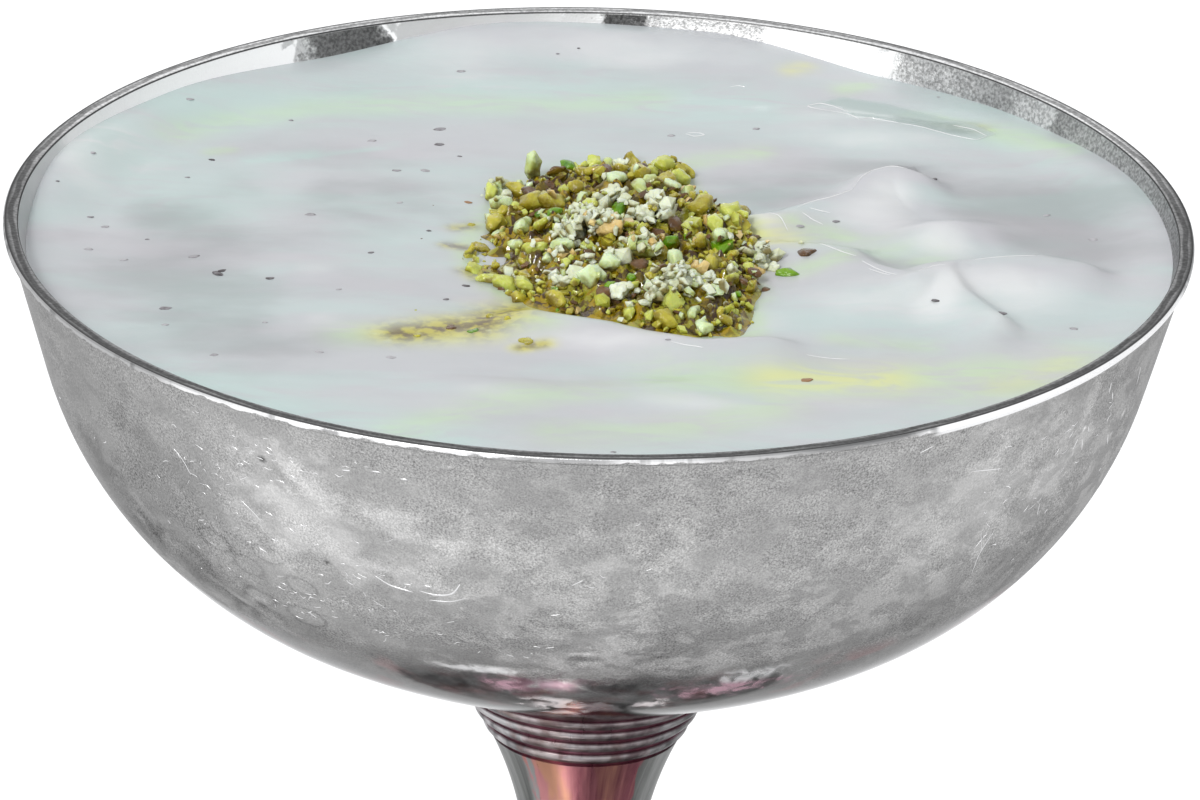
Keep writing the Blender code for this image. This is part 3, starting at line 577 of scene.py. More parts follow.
# The polished lower bowl: the heights where it begins and is full, how uneven that is, and its worn parts
POLISHED_BELOW = (0.0712, 0.0682)
POLISH_SWAY = 0.004
WORN_SIZE = 0.006
NECK_WAVER_SIZE = 0.0016
NECK_COVER = 0.85

# Painted reflections that it shows beside the stem: shade, degrees from the front, height, half girth, half
# height
NECK_PAINTED_REFLECTIONS = [
    ("rose", -9.9, 0.0664, 0.0028, 0.0013), ("plum", -4.2, 0.0671, 0.0036, 0.0015),
    ("rose", 17.6, 0.0658, 0.0056, 0.0012), ("dark", -19.0, 0.0653, 0.005, 0.0013),
    ("dark", 2.4, 0.0667, 0.0028, 0.001), ("bright", -11.5, 0.0683, 0.0044, 0.0005),
    ("bright", 20.3, 0.0675, 0.004, 0.0009), ("grey", 0.4, 0.063, 0.004, 0.0012),
    ("glow", -4.9, 0.0634, 0.0032, 0.0011), ("glow", -3.1, 0.0614, 0.0028, 0.001),
    ("glow", 9.4, 0.0637, 0.002, 0.0008),
]

# Those shades of painted reflection, and how much of each is light that the metal scatters, which makes the
# glow spots a painted glow
NECK_REFLECTION_SHADES = {
    "rose": ((0.74, 0.42, 0.52), 0.7), "plum": ((0.2, 0.125, 0.155), 0.0), "dark": ((0.12, 0.12, 0.12), 0.0),
    "bright": ((0.98, 0.98, 0.98), 0.6), "grey": ((0.3, 0.27, 0.28), 0.8), "glow": ((1.0, 0.92, 0.92), 1.0),
}

# Painted reflections on the bowl's inner face, as brightness: degrees from the back towards the right,
# brightness
INNER_FACE_PAINTED_REFLECTION = [
    (-180, 0.5), (-128, 0.5), (-118, 0.86), (-72, 0.88), (-68, 0.98), (-33, 0.98), (-31, 0.24), (-22.8, 0.17),
    (-22.7, 1.0), (-22.5, 1.0), (-22.4, 0.9), (-0.9, 0.9), (-0.7, 0.1), (4.4, 0.1), (4.8, 0.6), (15.5, 0.52),
    (17, 1.0), (30, 1.0), (33, 0.58), (47, 0.46), (48, 0.74), (52, 0.8), (53, 0.4), (58, 0.56), (84, 0.5),
    (110, 0.35), (180, 0.3),
]

# Painted highlights and shade of the lip's outer side, as brightness: degrees from the front towards the
# right, brightness
LIP_SIDE_PAINTED_LIGHT = [
    (-180, 0.6), (-75, 0.6), (-60, 0.5), (-46, 0.5), (-43, 0.88), (-9, 0.88), (-7, 0.45), (1, 0.45), (3, 0.9),
    (9, 0.9), (12, 0.62), (19, 0.55), (22, 0.3), (31, 0.3), (34, 1.0), (76, 1.0), (82, 0.6), (180, 0.6),
]

# Between which of these directions the painted bright edge is wider: where it begins and ends, each eased
WIDE_FROM = (math.radians(33), math.radians(36))
WIDE_TO = (math.radians(78), math.radians(75))

# The lip's top, painted as light and shade: two bands (how far inside the rim they begin and end, brightness
# at each), their waves, the size of its speckles, and the painted shade of the lines beside it
LIP_TOP_PAINTED_BANDS = ((0.00105, 0.00085, 1.25, 0.55), (0.00055, 0.0004, 0.0, 0.95))
LIP_WAVE = 0.00015
LIP_WAVE_SIZE = 0.006
LIP_SPECKLE_SIZE = 0.0003
LIP_LINE_PAINTED_SHADE = (0.09, 0.09, 0.09)

# The stem's worn front: half its girth, half its edge; and the painted highlight streak on it
WORN_HALF = 0.008
WORN_EDGE = 0.0003
STEM_PAINTED_SHINE = (-0.0052, 0.03)
STEM_PAINTED_SHINE_HALF = (0.0042, 0.08)

# Shades of the cream's warm parts, the painted highlight of its lumps, and its wet film
WARM_SHADE = (0.505, 0.485, 0.515)
LUMP_PAINTED_HIGHLIGHT = (0.665, 0.672, 0.672)
WET_CREAM = (0.35, 0.43, 0.41)

# Bits under the wet paste: the range of a cell's own value over which one shows, and its shade; and the rim
PASTE_CELL = 0.0013
PASTE_BITS = (
    (0.42, 0.72, (0.3, 0.205, 0.005)), (0.6, 0.8, (0.27, 0.255, 0.02)),
    (0.34, 0.14, (0.05, 0.024, 0.006)),
)
PASTE_RIM = (0.46, 0.42, 0.06)

# Kinds of piece: darker colour, lighter colour, roughness, gloss coat, light in the flesh, share of the draw
KINDS = {
    "pale": ((0.39, 0.44, 0.05), (0.6, 0.73, 0.47), 0.22, 0.8, 0.5, 0.2),
    "yellow": ((0.33, 0.34, 0.015), (0.55, 0.605, 0.14), 0.16, 0.8, 0.55, 0.22),
    "amber": ((0.19, 0.145, 0.003), (0.47, 0.425, 0.045), 0.14, 0.8, 0.6, 0.26),
    "white": ((0.5, 0.52, 0.29), (0.73, 0.78, 0.64), 0.5, 0.1, 0.25, 0.12),
    "green": ((0.01, 0.1, 0.002), (0.16, 0.32, 0.004), 0.18, 0.7, 0.3, 0.04),
    "skin": ((0.036, 0.016, 0.006), (0.14, 0.068, 0.024), 0.18, 0.5, 0.05, 0.12),
    "peach": ((0.52, 0.32, 0.08), (0.74, 0.58, 0.28), 0.3, 0.4, 0.3, 0.03),
}

# How each kind is shaped: detail, crumble size and depth, lump size and depth
SHAPES = {
    "pale": (2, 0.0009, 0.00042, 0.0009, 0.00014),
    "yellow": (2, 0.0008, 0.0004, 0.0008, 0.00016),
    "amber": (2, 0.0009, 0.00042, 0.0009, 0.00016),
    "white": (3, 0.0006, 0.0003, 0.0006, 0.00045),
    "green": (2, 0.0009, 0.00034, 0.0009, 0.00008),
    "skin": (2, 0.0008, 0.00034, 0.0009, 0.00008),
    "peach": (2, 0.0006, 0.0003, 0.0007, 0.0003),
}
# Shade of a piece low down: partly wet with paste, partly painted shade
WET_AND_PAINTED_LOW_SHADE = (0.15, 0.102, 0.003)

# The camera: elevation, roll, distance, scale in pixels of a 1200 by 800 image per metre, where the rim's
# middle falls, sensor and clipping
CAMERA_ELEVATION = math.radians(22.86)
CAMERA_ROLL = math.radians(1.55)
CAMERA_DISTANCE = 1.5
PIXELS_PER_METRE = 11845.0
IMAGE_SIZE = (1200, 800)
RIM_MIDDLE_PIXEL = (598.9, 229.4)
RIM_MIDDLE = Vector((0, 0, 0.092))
SENSOR_WIDTH = 36.0
CAMERA_CLIP = (0.05, 20.0)

# Soft lights: name, place that they shine from, width as seen, strength, whether they light the floor
LIGHTS = [
    ("front_light", (-0.62, -1.0, 0.78), math.radians(26), 1.3, False),
    ("glint_light", (-0.5, -1.0, 0.95), math.radians(12), 1.15, False),
    ("back_light", (-0.3, 1.0, 0.62), math.radians(70), 0.5, False),
    ("floor_light", (-0.2, 0.6, 1.6), math.radians(60), 2.6, True),
]

# Colour and strength of the even surroundings, and the floor's size
SURROUNDINGS = ((0.97, 0.98, 1.0, 1.0), 0.62)
FLOOR_RADIUS = 6.0


def length(name, description, default):
    return FloatProperty(
        name=name, description=description, default=default, min=0.0, unit="LENGTH", precision=5,
    )


def lean_angle(name, description, degrees):
    return FloatProperty(
        name=name, description=description, default=math.radians(degrees), subtype="ANGLE",
    )


def colour(name, description, default):
    return FloatVectorProperty(
        name=name, description=description, default=default, size=3, min=0.0, max=1.0, subtype="COLOR",
    )


class CoupeSizes(bpy.types.PropertyGroup):
    """Driving sizes of the coupe."""

    rim_radius: length("Rim radius", "Outer radius of the lip", BOWL_HIGH.x)
    rim_height: length("Rim height", "Height of the lip above the table", BOWL_HIGH.z)
    wall: length("Wall", "Thickness of the bowl's metal", 0.001)
    wall_lean: lean_angle("Wall lean", "How far the wall leans outwards", 16)
    wall_run: length("Wall run", "Length of the wall's straight part", 0.0118)
    shoulder_radius: length("Shoulder radius", "Radius of the wall's lower bend", 0.0328)
    shoulder_end: lean_angle("Shoulder end", "Lean where the bend ends", 61)
    collar_radius: length("Collar radius", "Radius of the stem under the bowl", 0.0128)
    waist_radius: length("Waist radius", "Radius of the stem's narrowest place", 0.0046)
    waist_height: length("Waist height", "Height of the stem's narrowest place", 0.028)
    foot_radius: length("Foot radius", "Radius of the foot's flare", FOOT_HIGH.x - FOOT_EDGE / 2)


class FoodSizes(bpy.types.PropertyGroup):
    """Sizes of the pieces of pistachio."""

    spacing: length("Spacing", "Distance between the larger pieces", 0.0021)
    shortest: length("Shortest piece", "Shortest of the larger pieces", 0.0014)
    longest: length("Longest piece", "Longest of the larger pieces", 0.0031)
    crumb: length("Crumb", "Length of a usual crumb", 0.0009)
    crumbs: IntProperty(name="Crumbs", description="Number of crumbs in the topping", default=520, min=0)
    seed: IntProperty(name="Seed", description="Draws another topping", default=11)


class Colours(bpy.types.PropertyGroup):
    """Colours of the coupe and the food."""

    silver: colour("Silver", "The metal's darker ground", (0.376, 0.374, 0.37))
    frost: colour("Frost", "The metal's lighter patches", (0.468, 0.465, 0.459))
    copper: colour("Copper", "The rose tint where the silver is worn", (0.55, 0.29, 0.3))
    cream: colour("Cream", "The shrikhand", (0.47, 0.482, 0.5))
    mint: colour("Mint", "The shrikhand's mint parts", (0.46, 0.572, 0.55))
    green: colour("Green", "The shrikhand's green streaks", (0.48, 0.64, 0.38))
    yellow: colour("Yellow", "The shrikhand's yellow streaks", (0.66, 0.655, 0.235))
    # Its own dark brown, kept darker still as painted shade in the gaps between the pieces
    paste: colour("Paste", "The wet nut paste under the pieces", (0.112, 0.078, 0.003))


def arc(centre, radius, start, end, steps):
    """(radius, height) points along an arc, both ends included."""
    return [
        (centre[0] + radius * math.cos(angle), centre[1] + radius * math.sin(angle))
        for angle in np.linspace(start, end, steps + 1)
    ]


class Outline:
    """The coupe's turned outline, as (radius, height) points worked out from its sizes."""

    def __init__(self, sizes):
        self.s = sizes
        lean = sizes.wall_lean
        self.top = (sizes.rim_radius - LIP_PROUD - sizes.wall / 2 / math.cos(lean), sizes.rim_height)
        run = sizes.wall_run
        bend = sizes.shoulder_radius
        shoulder = (self.top[0] - run * math.sin(lean), self.top[1] - run * math.cos(lean))
        self.bend = (shoulder[0] - bend * math.cos(lean), shoulder[1] + bend * math.sin(lean))
        end = sizes.shoulder_end
        self.base_radius = (self.bend[0] + bend * math.cos(end)) / math.cos(end)
        self.base = (0.0, self.bend[1] - bend * math.sin(end) + self.base_radius * math.sin(end))

    def bottom(self, offset):
        """The lowest height of the wall's middle face, moved outwards by offset."""
        return self.base[1] - self.base_radius - offset

    def wall_face(self, offset):
        """The wall from near the axis to its straight part, moved outwards by offset."""
        s = self.s
        base = arc(self.base, self.base_radius + offset, -math.pi / 2, -s.shoulder_end, BASE_STEPS)
        bend = arc(self.bend, s.shoulder_radius + offset, -s.shoulder_end, -s.wall_lean, BEND_STEPS)
        return base[1:] + bend[1:]

    def wall_radius(self, height, offset):
        """The radius of the wall's straight part at a height, moved outwards by offset."""
        lean = self.s.wall_lean
        return self.top[0] - (self.top[1] - height) * math.tan(lean) + offset / math.cos(lean)

    def lip(self):
        """The flat-topped lip from its underside to the bowl's inner face."""
        rim, height, half = self.s.rim_radius, self.s.rim_height, self.s.wall / 2
        under = height - LIP_HEIGHT
        inner = self.wall_radius(height, -half)
        low, high = under + LIP_ROUND, height - LIP_ROUND
        points = [(self.wall_radius(under, half), under)]
        points += arc((rim - LIP_ROUND, low), LIP_ROUND, -math.pi / 2, 0, LIP_STEPS)
        points += arc((rim - LIP_ROUND, high), LIP_ROUND, 0, math.pi / 2, LIP_STEPS)
        points += [((rim + inner) / 2, height)]
        points += arc((inner + LIP_ROUND, high), LIP_ROUND, math.pi / 2, math.pi, LIP_STEPS)
        return points

    def straight(self, offset, top):
        """The wall's straight part, from its lower end towards a height."""
        low = self.bend[1] - (self.s.shoulder_radius + offset) * math.sin(self.s.wall_lean)
        heights = np.linspace(low, top, STRAIGHT_STEPS)[1:-1]
        return [(self.wall_radius(height, offset), height) for height in heights]

    def outer_face(self):
        """The bowl's outside, from near the axis to under the lip."""
        half = self.s.wall / 2
        return self.wall_face(half) + self.straight(half, self.s.rim_height - LIP_HEIGHT)

    def neck_radius(self, height):
        """The stem's radius above its waist, without the rings."""
        share = max(0.0, (height - self.s.waist_height) / (self.bottom(0.0) - self.s.waist_height))
        return self.s.waist_radius + NECK_FLARE * share**NECK_POWER

    def foot_point(self, angle, inset=0.0):
        """A point of the foot's flare, from 0 at the waist to a quarter turn at the edge."""
        half_width = self.s.foot_radius - self.s.waist_radius
        half_height = self.s.waist_height - FOOT_EDGE
        normal = Vector((half_height * math.cos(angle), half_width * math.sin(angle))).normalized()
        radius = self.s.foot_radius - half_width * math.cos(angle)
        height = self.s.waist_height - half_height * math.sin(angle)
        return radius - inset * normal.x, height - inset * normal.y


def smooth_step(share):
    share = np.clip(share, 0.0, 1.0)
    return share * share * (3 - 2 * share)


def noise_at(x, y, across, along, cut=0.0):
    """Smooth noise from about -1 to 1 at many places, with features of the given sizes."""
    places = zip((x / across).tolist(), (y / along).tolist())
    return np.array([noise.noise((a, b, cut)) for a, b in places])


def uneven_at(x, y, rows):
    """A sum of noises: size across, size along, cut, strength."""
    return sum(noise_at(x, y, across, along, cut) * strength for across, along, cut, strength in rows)


def round_table(values, angle):
    """The value in a direction, eased between values spread evenly round a circle from +X."""
    values = np.asarray(values)
    place = (angle % math.tau) / math.tau * len(values)
    before = place.astype(int) % len(values)
    after = (before + 1) % len(values)
    return values[before] + (values[after] - values[before]) * smooth_step(place - np.floor(place))


def lump_height(x, y, lump):
    """Height that one rounded lump adds."""
    centre_x, centre_y, half_x, half_y, turn, height = lump
    turn = math.radians(turn)
    across, along = x - centre_x, y - centre_y
    u = (across * math.cos(turn) + along * math.sin(turn)) / half_x
    v = (-across * math.sin(turn) + along * math.cos(turn)) / half_y
    return height * np.exp(-(u * u + v * v))


def route_distance(x, y, route):
    """Distance to a route, and on which side of it a place lies, from -1 to 1."""
    nearest, side = np.full(x.shape, np.inf), np.zeros(x.shape)
    for (ax, ay), (bx, by) in zip(route, route[1:]):
        span_x, span_y = bx - ax, by - ay
        length_squared = span_x**2 + span_y**2
        share = np.clip(((x - ax) * span_x + (y - ay) * span_y) / length_squared, 0, 1)
        away_x, away_y = x - ax - share * span_x, y - ay - share * span_y
        away = np.hypot(away_x, away_y)
        cross = span_x * away_y - span_y * away_x
        closer = away < nearest
        nearest = np.where(closer, away, nearest)
        side = np.where(closer, cross / np.maximum(away * math.sqrt(length_squared), TINY), side)
    return nearest, side


def along_route(x, y, route, width):
    """1 on a route, falling off to 0 beside it."""
    nearest, _ = route_distance(x, y, route)
    return np.exp(-((nearest / width) ** 2))


def crest_height(x, y, crest):
    """Height that one crest adds: it falls off slowly in front of its line and fast behind it."""
    front, back, height, route = crest
    nearest, side = route_distance(x, y, route)
    width = front + (back - front) * (0.5 + 0.5 * side)
    return height * np.exp(-((nearest / width) ** 2))


def cream_height(x, y, outline):
    """The cream's surface above the table."""
    x, y = np.asarray(x, float), np.asarray(y, float)
    rim = outline.s.rim_height
    lumps = sum(lump_height(x, y, lump) for lump in LUMPS)
    crests = sum(crest_height(x, y, crest) ** 3 for crest in CRESTS) ** (1 / 3)
    middle = rim - CREAM_DROP + uneven_at(x, y, CREAM_UNEVEN) + lumps + crests
    edge = rim - round_table(EDGE_DROPS, np.arctan2(y, x))
    reach = outline.wall_radius(rim - CREAM_DROP, -outline.s.wall / 2 - SEAM_GAP)
    inside = reach - np.hypot(x, y)
    return middle + (edge - middle) * smooth_step(1 - inside / MENISCUS)


def inside_share(x, y, corners, edge):
    """1 well inside an outline, 0 outside it, eased over the edge's width."""
    inside = np.zeros(x.shape, bool)
    for (ax, ay), (bx, by) in zip(corners, corners[1:] + corners[:1]):
        crosses = (ay > y) != (by > y)
        inside ^= crosses & (x < ax + (y - ay) * (bx - ax) / (by - ay if by != ay else 1.0))
    nearest, _ = route_distance(x, y, corners + corners[:1])
    return smooth_step(np.where(inside, 0.5 + nearest / edge, 0.5 - nearest / edge))


def heap_direction(x, y):
    return np.arctan2(y - HEAP_CENTRE[1], x - HEAP_CENTRE[0])


def heap_share(x, y):
    """How far out in the topping a place is, from 0 at its centre to 1 at its outline."""
    away = np.hypot(x - HEAP_CENTRE[0], y - HEAP_CENTRE[1])
    return away / round_table(HEAP_REACH, heap_direction(x, y))


def heap_thickness(x, y):
    """Thickness of the wet paste under the pieces, with bare patches at its thin left."""
    edge = heap_share(x, y) + uneven_at(x, y, HEAP_EDGE_UNEVEN)
    fullness = round_table(HEAP_LEFT_THIN, heap_direction(x, y))
    thin = 1 - (1 - fullness) * smooth_step((edge - THIN_FROM) / THIN_OVER)
    dome = np.maximum(0.0, 1 - np.clip(edge, 0, 1.2) ** HEAP_FULLNESS)
    thick = HEAP_THICKNESS * dome * (1 + uneven_at(x, y, HEAP_UNEVEN))
    patchy = 0.5 + uneven_at(x, y, HEAP_PATCHY)
    return np.maximum(thick * thin - HEAP_PATCHES * patchy * (1 - thin), -HEAP_SUNK)


def lumps_at(x, y, size):
    """Rounded lumps of a size, from about -1 in the gaps to 1 on top."""
    places = zip((x / size).tolist(), (y / size).tolist())
    return np.array([1.0 - 2.0 * noise.voronoi((a, b, 0.3))[0][0] for a, b in places])


def closed_mesh(name, start, rings, end):
    """A closed mesh from a start point, rings that run counterclockwise about +Z, and an end point."""
    count, around = rings.shape[:2]
    ring, step = np.meshgrid(np.arange(count - 1), np.arange(around), indexing="ij")
    this, above, after = ring * around, (ring + 1) * around, (step + 1) % around
    quads = np.stack([this + step, this + after, above + after, above + step], axis=-1)
    first, last, row = count * around, count * around + 1, (count - 1) * around
    caps = [(first, (i + 1) % around, i) for i in range(around)]
    caps += [(row + i, row + (i + 1) % around, last) for i in range(around)]
    points = np.vstack([rings.reshape(-1, 3), start, end])
    mesh = bpy.data.meshes.new(name)
    mesh.from_pydata(points.tolist(), [], quads.reshape(-1, 4).tolist() + caps)
    mesh.shade_smooth()
    mesh.set_sharp_from_angle(angle=SMOOTH_BELOW)
    return mesh


def round_angles(around):
    return np.arange(around) / around * math.tau


def turn_profile(profile, around):
    """Rings of points turned from (radius, height) points."""
    angle = round_angles(around)
    radius, height = np.array(profile).T
    x, y = np.outer(radius, np.cos(angle)), np.outer(radius, np.sin(angle))
    return np.stack([x, y, np.repeat(height[:, None], around, axis=1)], axis=-1)


def shrinking_rings(angle, reach, count):
    """x and y of rings that shrink from an outline towards its middle."""
    shares = np.linspace(1.0, 0.0, count + 1)[:-1]
    return np.outer(shares, reach * np.cos(angle)), np.outer(shares, reach * np.sin(angle))


def store(mesh, name, kind, values):
    """Keeps a value for each point of a mesh, for its material to read."""
    layer = mesh.attributes.new(name, kind, "POINT")
    field = {"FLOAT": "value", "INT": "value", "FLOAT_VECTOR": "vector", "FLOAT_COLOR": "color"}[kind]
    number = np.int32 if kind == "INT" else np.float32
    layer.data.foreach_set(field, np.asarray(values, number).ravel())


def store_rings(mesh, name, values, around):
    """Keeps one value for each ring of a closed mesh, and 0 at its two poles."""
    store(mesh, name, "FLOAT", np.append(np.repeat(values, around), [0.0, 0.0]))


def place_object(name, data):
    """Adds an object to the scene."""
    made = bpy.data.objects.new(name, data)
    bpy.context.scene.collection.objects.link(made)
    return made


def finished_mesh(name, shape):
    """Turns an edited shape into a mesh."""
    mesh = bpy.data.meshes.new(name)
    shape.to_mesh(mesh)
    shape.free()
    return mesh


def add_piece(name, mesh, finish, slot, *replaced):
    """Puts a finished mesh in the scene, riding on the coupe."""
    piece = place_object(name, mesh)
    mesh.materials.clear()
    mesh.materials.append(finish)
    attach(piece, "root")
    if replaced:
        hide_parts(*replaced)
    return piece


class Wire:
    """An output of a node. Sums, products and differences of wires add the nodes that work them out."""

    def __init__(self, tree, socket):
        self.tree, self.socket = tree, socket

    def __add__(self, other):
        return calculate("ADD", self, other)

    def __sub__(self, other):
        return calculate("SUBTRACT", self, other)

    def __rsub__(self, other):
        return calculate("SUBTRACT", other, self)

    def __mul__(self, other):
        return calculate("MULTIPLY", self, other)

    def __rtruediv__(self, other):
        return calculate("DIVIDE", other, self)

    def __abs__(self):
        return calculate("ABSOLUTE", self)

    def most(self, other):
        """The larger of two."""
        return calculate("MAXIMUM", self, other)


def connect(tree, socket, value):
    """Links a wire to a socket, or sets the socket."""
    if isinstance(value, Wire):
        tree.links.new(value.socket, socket)
    else:
        socket.default_value = value


def add_node(tree, kind, inputs, **settings):
    node = tree.nodes.new(kind)
    for name, value in settings.items():
        setattr(node, name, value)
    for key, value in inputs.items():
        connect(tree, node.inputs[key], value)
    return node


def source(tree, kind, output=0, inputs=None, **settings):
    """Adds a node and returns one of its outputs."""
    return Wire(tree, add_node(tree, kind, inputs or {}, **settings).outputs[output])


def worked_out(kind, inputs, output=0, **settings):
    """Adds a node to the tree of the wires that it is given, and returns one of its outputs."""
    tree = next(value.tree for value in inputs.values() if isinstance(value, Wire))
    return source(tree, kind, output, inputs, **settings)


def calculate(operation, *values, clamp=False):
    inputs = dict(enumerate(values))
    return worked_out("ShaderNodeMath", inputs, operation=operation, use_clamp=clamp)


def vectors(operation, a, b=None, scale=None):
    """One step of arithmetic with vectors or colours."""
    inputs = {key: value for key, value in ((0, a), (1, b), ("Scale", scale)) if value is not None}
    output = "Value" if operation == "LENGTH" else "Vector"
    return worked_out("ShaderNodeVectorMath", inputs, output, operation=operation)


def scaled(shade, gain):
    """A colour made lighter or darker."""
    return vectors("SCALE", shade, scale=gain)


def spread(value, low, high, to_low=0.0, to_high=1.0):
    """Stretches a value from one range to another, eased and held at the ends."""
    inputs = {"Value": value, "From Min": low, "From Max": high, "To Min": to_low, "To Max": to_high}
    return worked_out("ShaderNodeMapRange", inputs, interpolation_type="SMOOTHSTEP")


def blend(share, a, b):
    """Mixes two colours."""
    a, b = (value if isinstance(value, Wire) else (*value, 1.0) for value in (a, b))
    return worked_out("ShaderNodeMix", {"Factor": share, 6: a, 7: b}, 2, data_type="RGBA")


def between(value, low, high, dark, light):
    """A shade that goes from dark to light as a value goes from low to high."""
    return blend(spread(value, low, high), dark, light)


def grain(place, size, detail=2.0, distortion=0.0, roughness=0.5):
    """Noise with features of a size in metres, from 0 to 1."""
    inputs = {"Vector": place, "Scale": 1 / size, "Detail": detail}
    inputs.update({"Distortion": distortion, "Roughness": roughness})
    return worked_out("ShaderNodeTexNoise", inputs, "Fac")


def swayed(place, size, detail, reach, distortion=0.0):
    """Noise from -reach to reach, to make a value uneven."""
    return spread(grain(place, size, detail, distortion), 0.3, 0.7, -reach, reach)


def stretched(place, stretch, offset=(0, 0, 0)):
    return worked_out("ShaderNodeMapping", {"Vector": place, "Scale": stretch, "Location": offset})


def split(value, kind="XYZ"):
    """The three parts of a vector or of a colour."""
    node = add_node(value.tree, f"ShaderNodeSeparate{kind}", {0: value})
    return [Wire(value.tree, socket) for socket in node.outputs]


def relief(height, depth):
    """A bump whose full height is depth, in metres."""
    return worked_out("ShaderNodeBump", {"Height": height, "Distance": depth, "Strength": 1.0})


def turned_by(place, facing):
    """The angle about Z, in radians towards the right, from the front (-1) or from the back (1)."""
    across, away, _ = split(place)
    return calculate("ARCTAN2", across, away * facing)


def unrolled(place, radius):
    """Coordinates along the girth and the height of a turned piece, with their seam at the back."""
    girth = turned_by(place, FROM_FRONT) * radius
    return worked_out("ShaderNodeCombineXYZ", {"X": girth, "Y": split(place)[2]})


def looked_up(angle, table):
    """A brightness from a table of (degrees, brightness) that runs from -180 to 180."""
    node = add_node(angle.tree, "ShaderNodeValToRGB", {"Fac": angle * (1 / math.tau) + 0.5})
    stops = node.color_ramp.elements
    stops[0].color, stops[-1].color = ((table[end][1],) * 3 + (1.0,) for end in (0, -1))
    for degrees, level in table[1:-1]:
        stops.new(0.5 + degrees / 360).color = (level, level, level, 1.0)
    return Wire(angle.tree, node.outputs["Color"])


def soft_spot(skin, middle, half, waver):
    """1 in the middle of a soft uneven oval on the unrolled surface, 0 outside."""
    away = vectors("SUBTRACT", skin, (*middle, 0.0))
    shares = vectors("MULTIPLY", away, (1 / half[0], 1 / half[1], 0.0))
    return spread(vectors("LENGTH", shares) + waver, *SPOT_EDGE)


def bowl_spot(skin, turn, height, half_girth, half_height, waver):
    """A soft spot at a direction and height of the bowl."""
    middle = (math.radians(turn) * BOWL_SKIN, height)
    return soft_spot(skin, middle, (half_girth, half_height), waver)


def flesh(weight, radius, scale):
    """How far light goes into what the shader shows."""
    return {"Subsurface Weight": weight, "Subsurface Radius": radius, "Subsurface Scale": scale}


def coat(weight, roughness):
    """A thin wet layer."""
    return {"Coat Weight": weight, "Coat Roughness": roughness}


class Finish:
    """A material in the making: its tree and its Object coordinates."""

    def __init__(self, name):
        self.material = bpy.data.materials.new(name)
        self.material.use_nodes = True
        self.tree = self.material.node_tree
        self.place = source(self.tree, "ShaderNodeTexCoord", "Object")

    def read(self, name, output="Fac"):
        """What the mesh keeps under a name."""
        return source(self.tree, "ShaderNodeAttribute", output, attribute_name=name)

    def done(self, inputs):
        """Sets the shader and returns the material."""
        shader = self.tree.nodes["Principled BSDF"]
        for name, value in inputs.items():
            connect(self.tree, shader.inputs[name], value)
        return self.material


def satin_ground(colours, place, skin, level):
    """Grey of the satin metal: frosty patches and grain, and painted highlights and painted shade of clouds,
    dents, pits and hammer marks. Also how frosty a place is.
    """
    front = turned_by(place, FROM_FRONT)
    flat = stretched(place, PATCH_STRETCH)
    patches = spread(grain(flat, PATCH_SIZE, 9.0, 0.3, 0.66), 0.455, 0.56)
    frost = patches * spread(grain(place, CLOUD_SIZE), 0.34, 0.6, 0.45, 1.0)
    frost = blend(spread(front, *PATCHY_FROM, 0.35, 0.0), frost, HALF_FROST)
    ground = blend(frost, colours.silver, colours.frost)
    gain = spread(level, 0.06, 0.086, 1.0, 0.93)
    gain += (patches - 0.5) * spread(front, *CLEAR_FROM, 0.0, 0.05)
    waver = swayed(flat, SPOT_WAVER_SIZE, 5.0, 0.5, 0.6)
    # Painted highlights and painted shade: bright and dark clouds, dents and pits
    for *spot, strength in BOWL_PAINTED_LIGHT:
        gain += bowl_spot(skin, *spot, waver) * strength
    # Hammer marks: painted shade along their edges, a faint painted highlight inside
    for mark in HAMMER_MARKS_PAINTED:
        spot = bowl_spot(skin, *mark, waver * 0.4)
        outline = 0.25 - abs(spot - 0.3)
        gain = gain - spread(outline, 0.0, 0.25, 0.0, 0.2) + spot * 0.1
    fine = grain(place, FINE_SIZE)
    coarse = spread(grain(flat, COARSE_SIZE, 3.0), 0.36, 0.6, 0.4, 1.0)
    gain += (fine - 0.5) * coarse * GRAIN_GAIN
    return scaled(ground, gain), frost, fine


def neck_painted_reflection(shade, place, skin, polished, colours):
    """Polished lower bowl: rose copper, and soft spots of painted reflection. Also how much light a place
    scatters.
    """
    worn = spread(grain(place, WORN_SIZE, 3.0), 0.53, 0.66, 0.0, 0.4)
    shade = blend(worn * polished, shade, colours.copper)
    waver = swayed(place, NECK_WAVER_SIZE, 4.0, 0.45, 0.6)
    painted_glow_share = (0.0, 0.0, 0.0)
    # Each spot paints a reflection into the colour; the glow spots are a painted glow
    for name, *spot in NECK_PAINTED_REFLECTIONS:
        cover = bowl_spot(skin, *spot, waver) * NECK_COVER
        spot_shade, scattered = NECK_REFLECTION_SHADES[name]
        shade = blend(cover, shade, spot_shade)
        painted_glow_share = blend(cover, painted_glow_share, (scattered,) * 3)
    return shade, painted_glow_share


def inner_face_painted_reflection(place):
    """Painted reflection brightness of the inner face by direction, and its shade, dotted where it isn't
    white.
    """
    inner = looked_up(turned_by(place, FROM_BACK) + swayed(place, 0.0014, 3.0, 0.022), INNER_FACE_PAINTED_REFLECTION)
    dotted = spread(grain(place, DOT_SIZE, 3.0), 0.3, 0.7, 0.62, 1.38)
    return inner, blend(spread(inner, 0.84, 0.76), inner, scaled(inner, dotted))


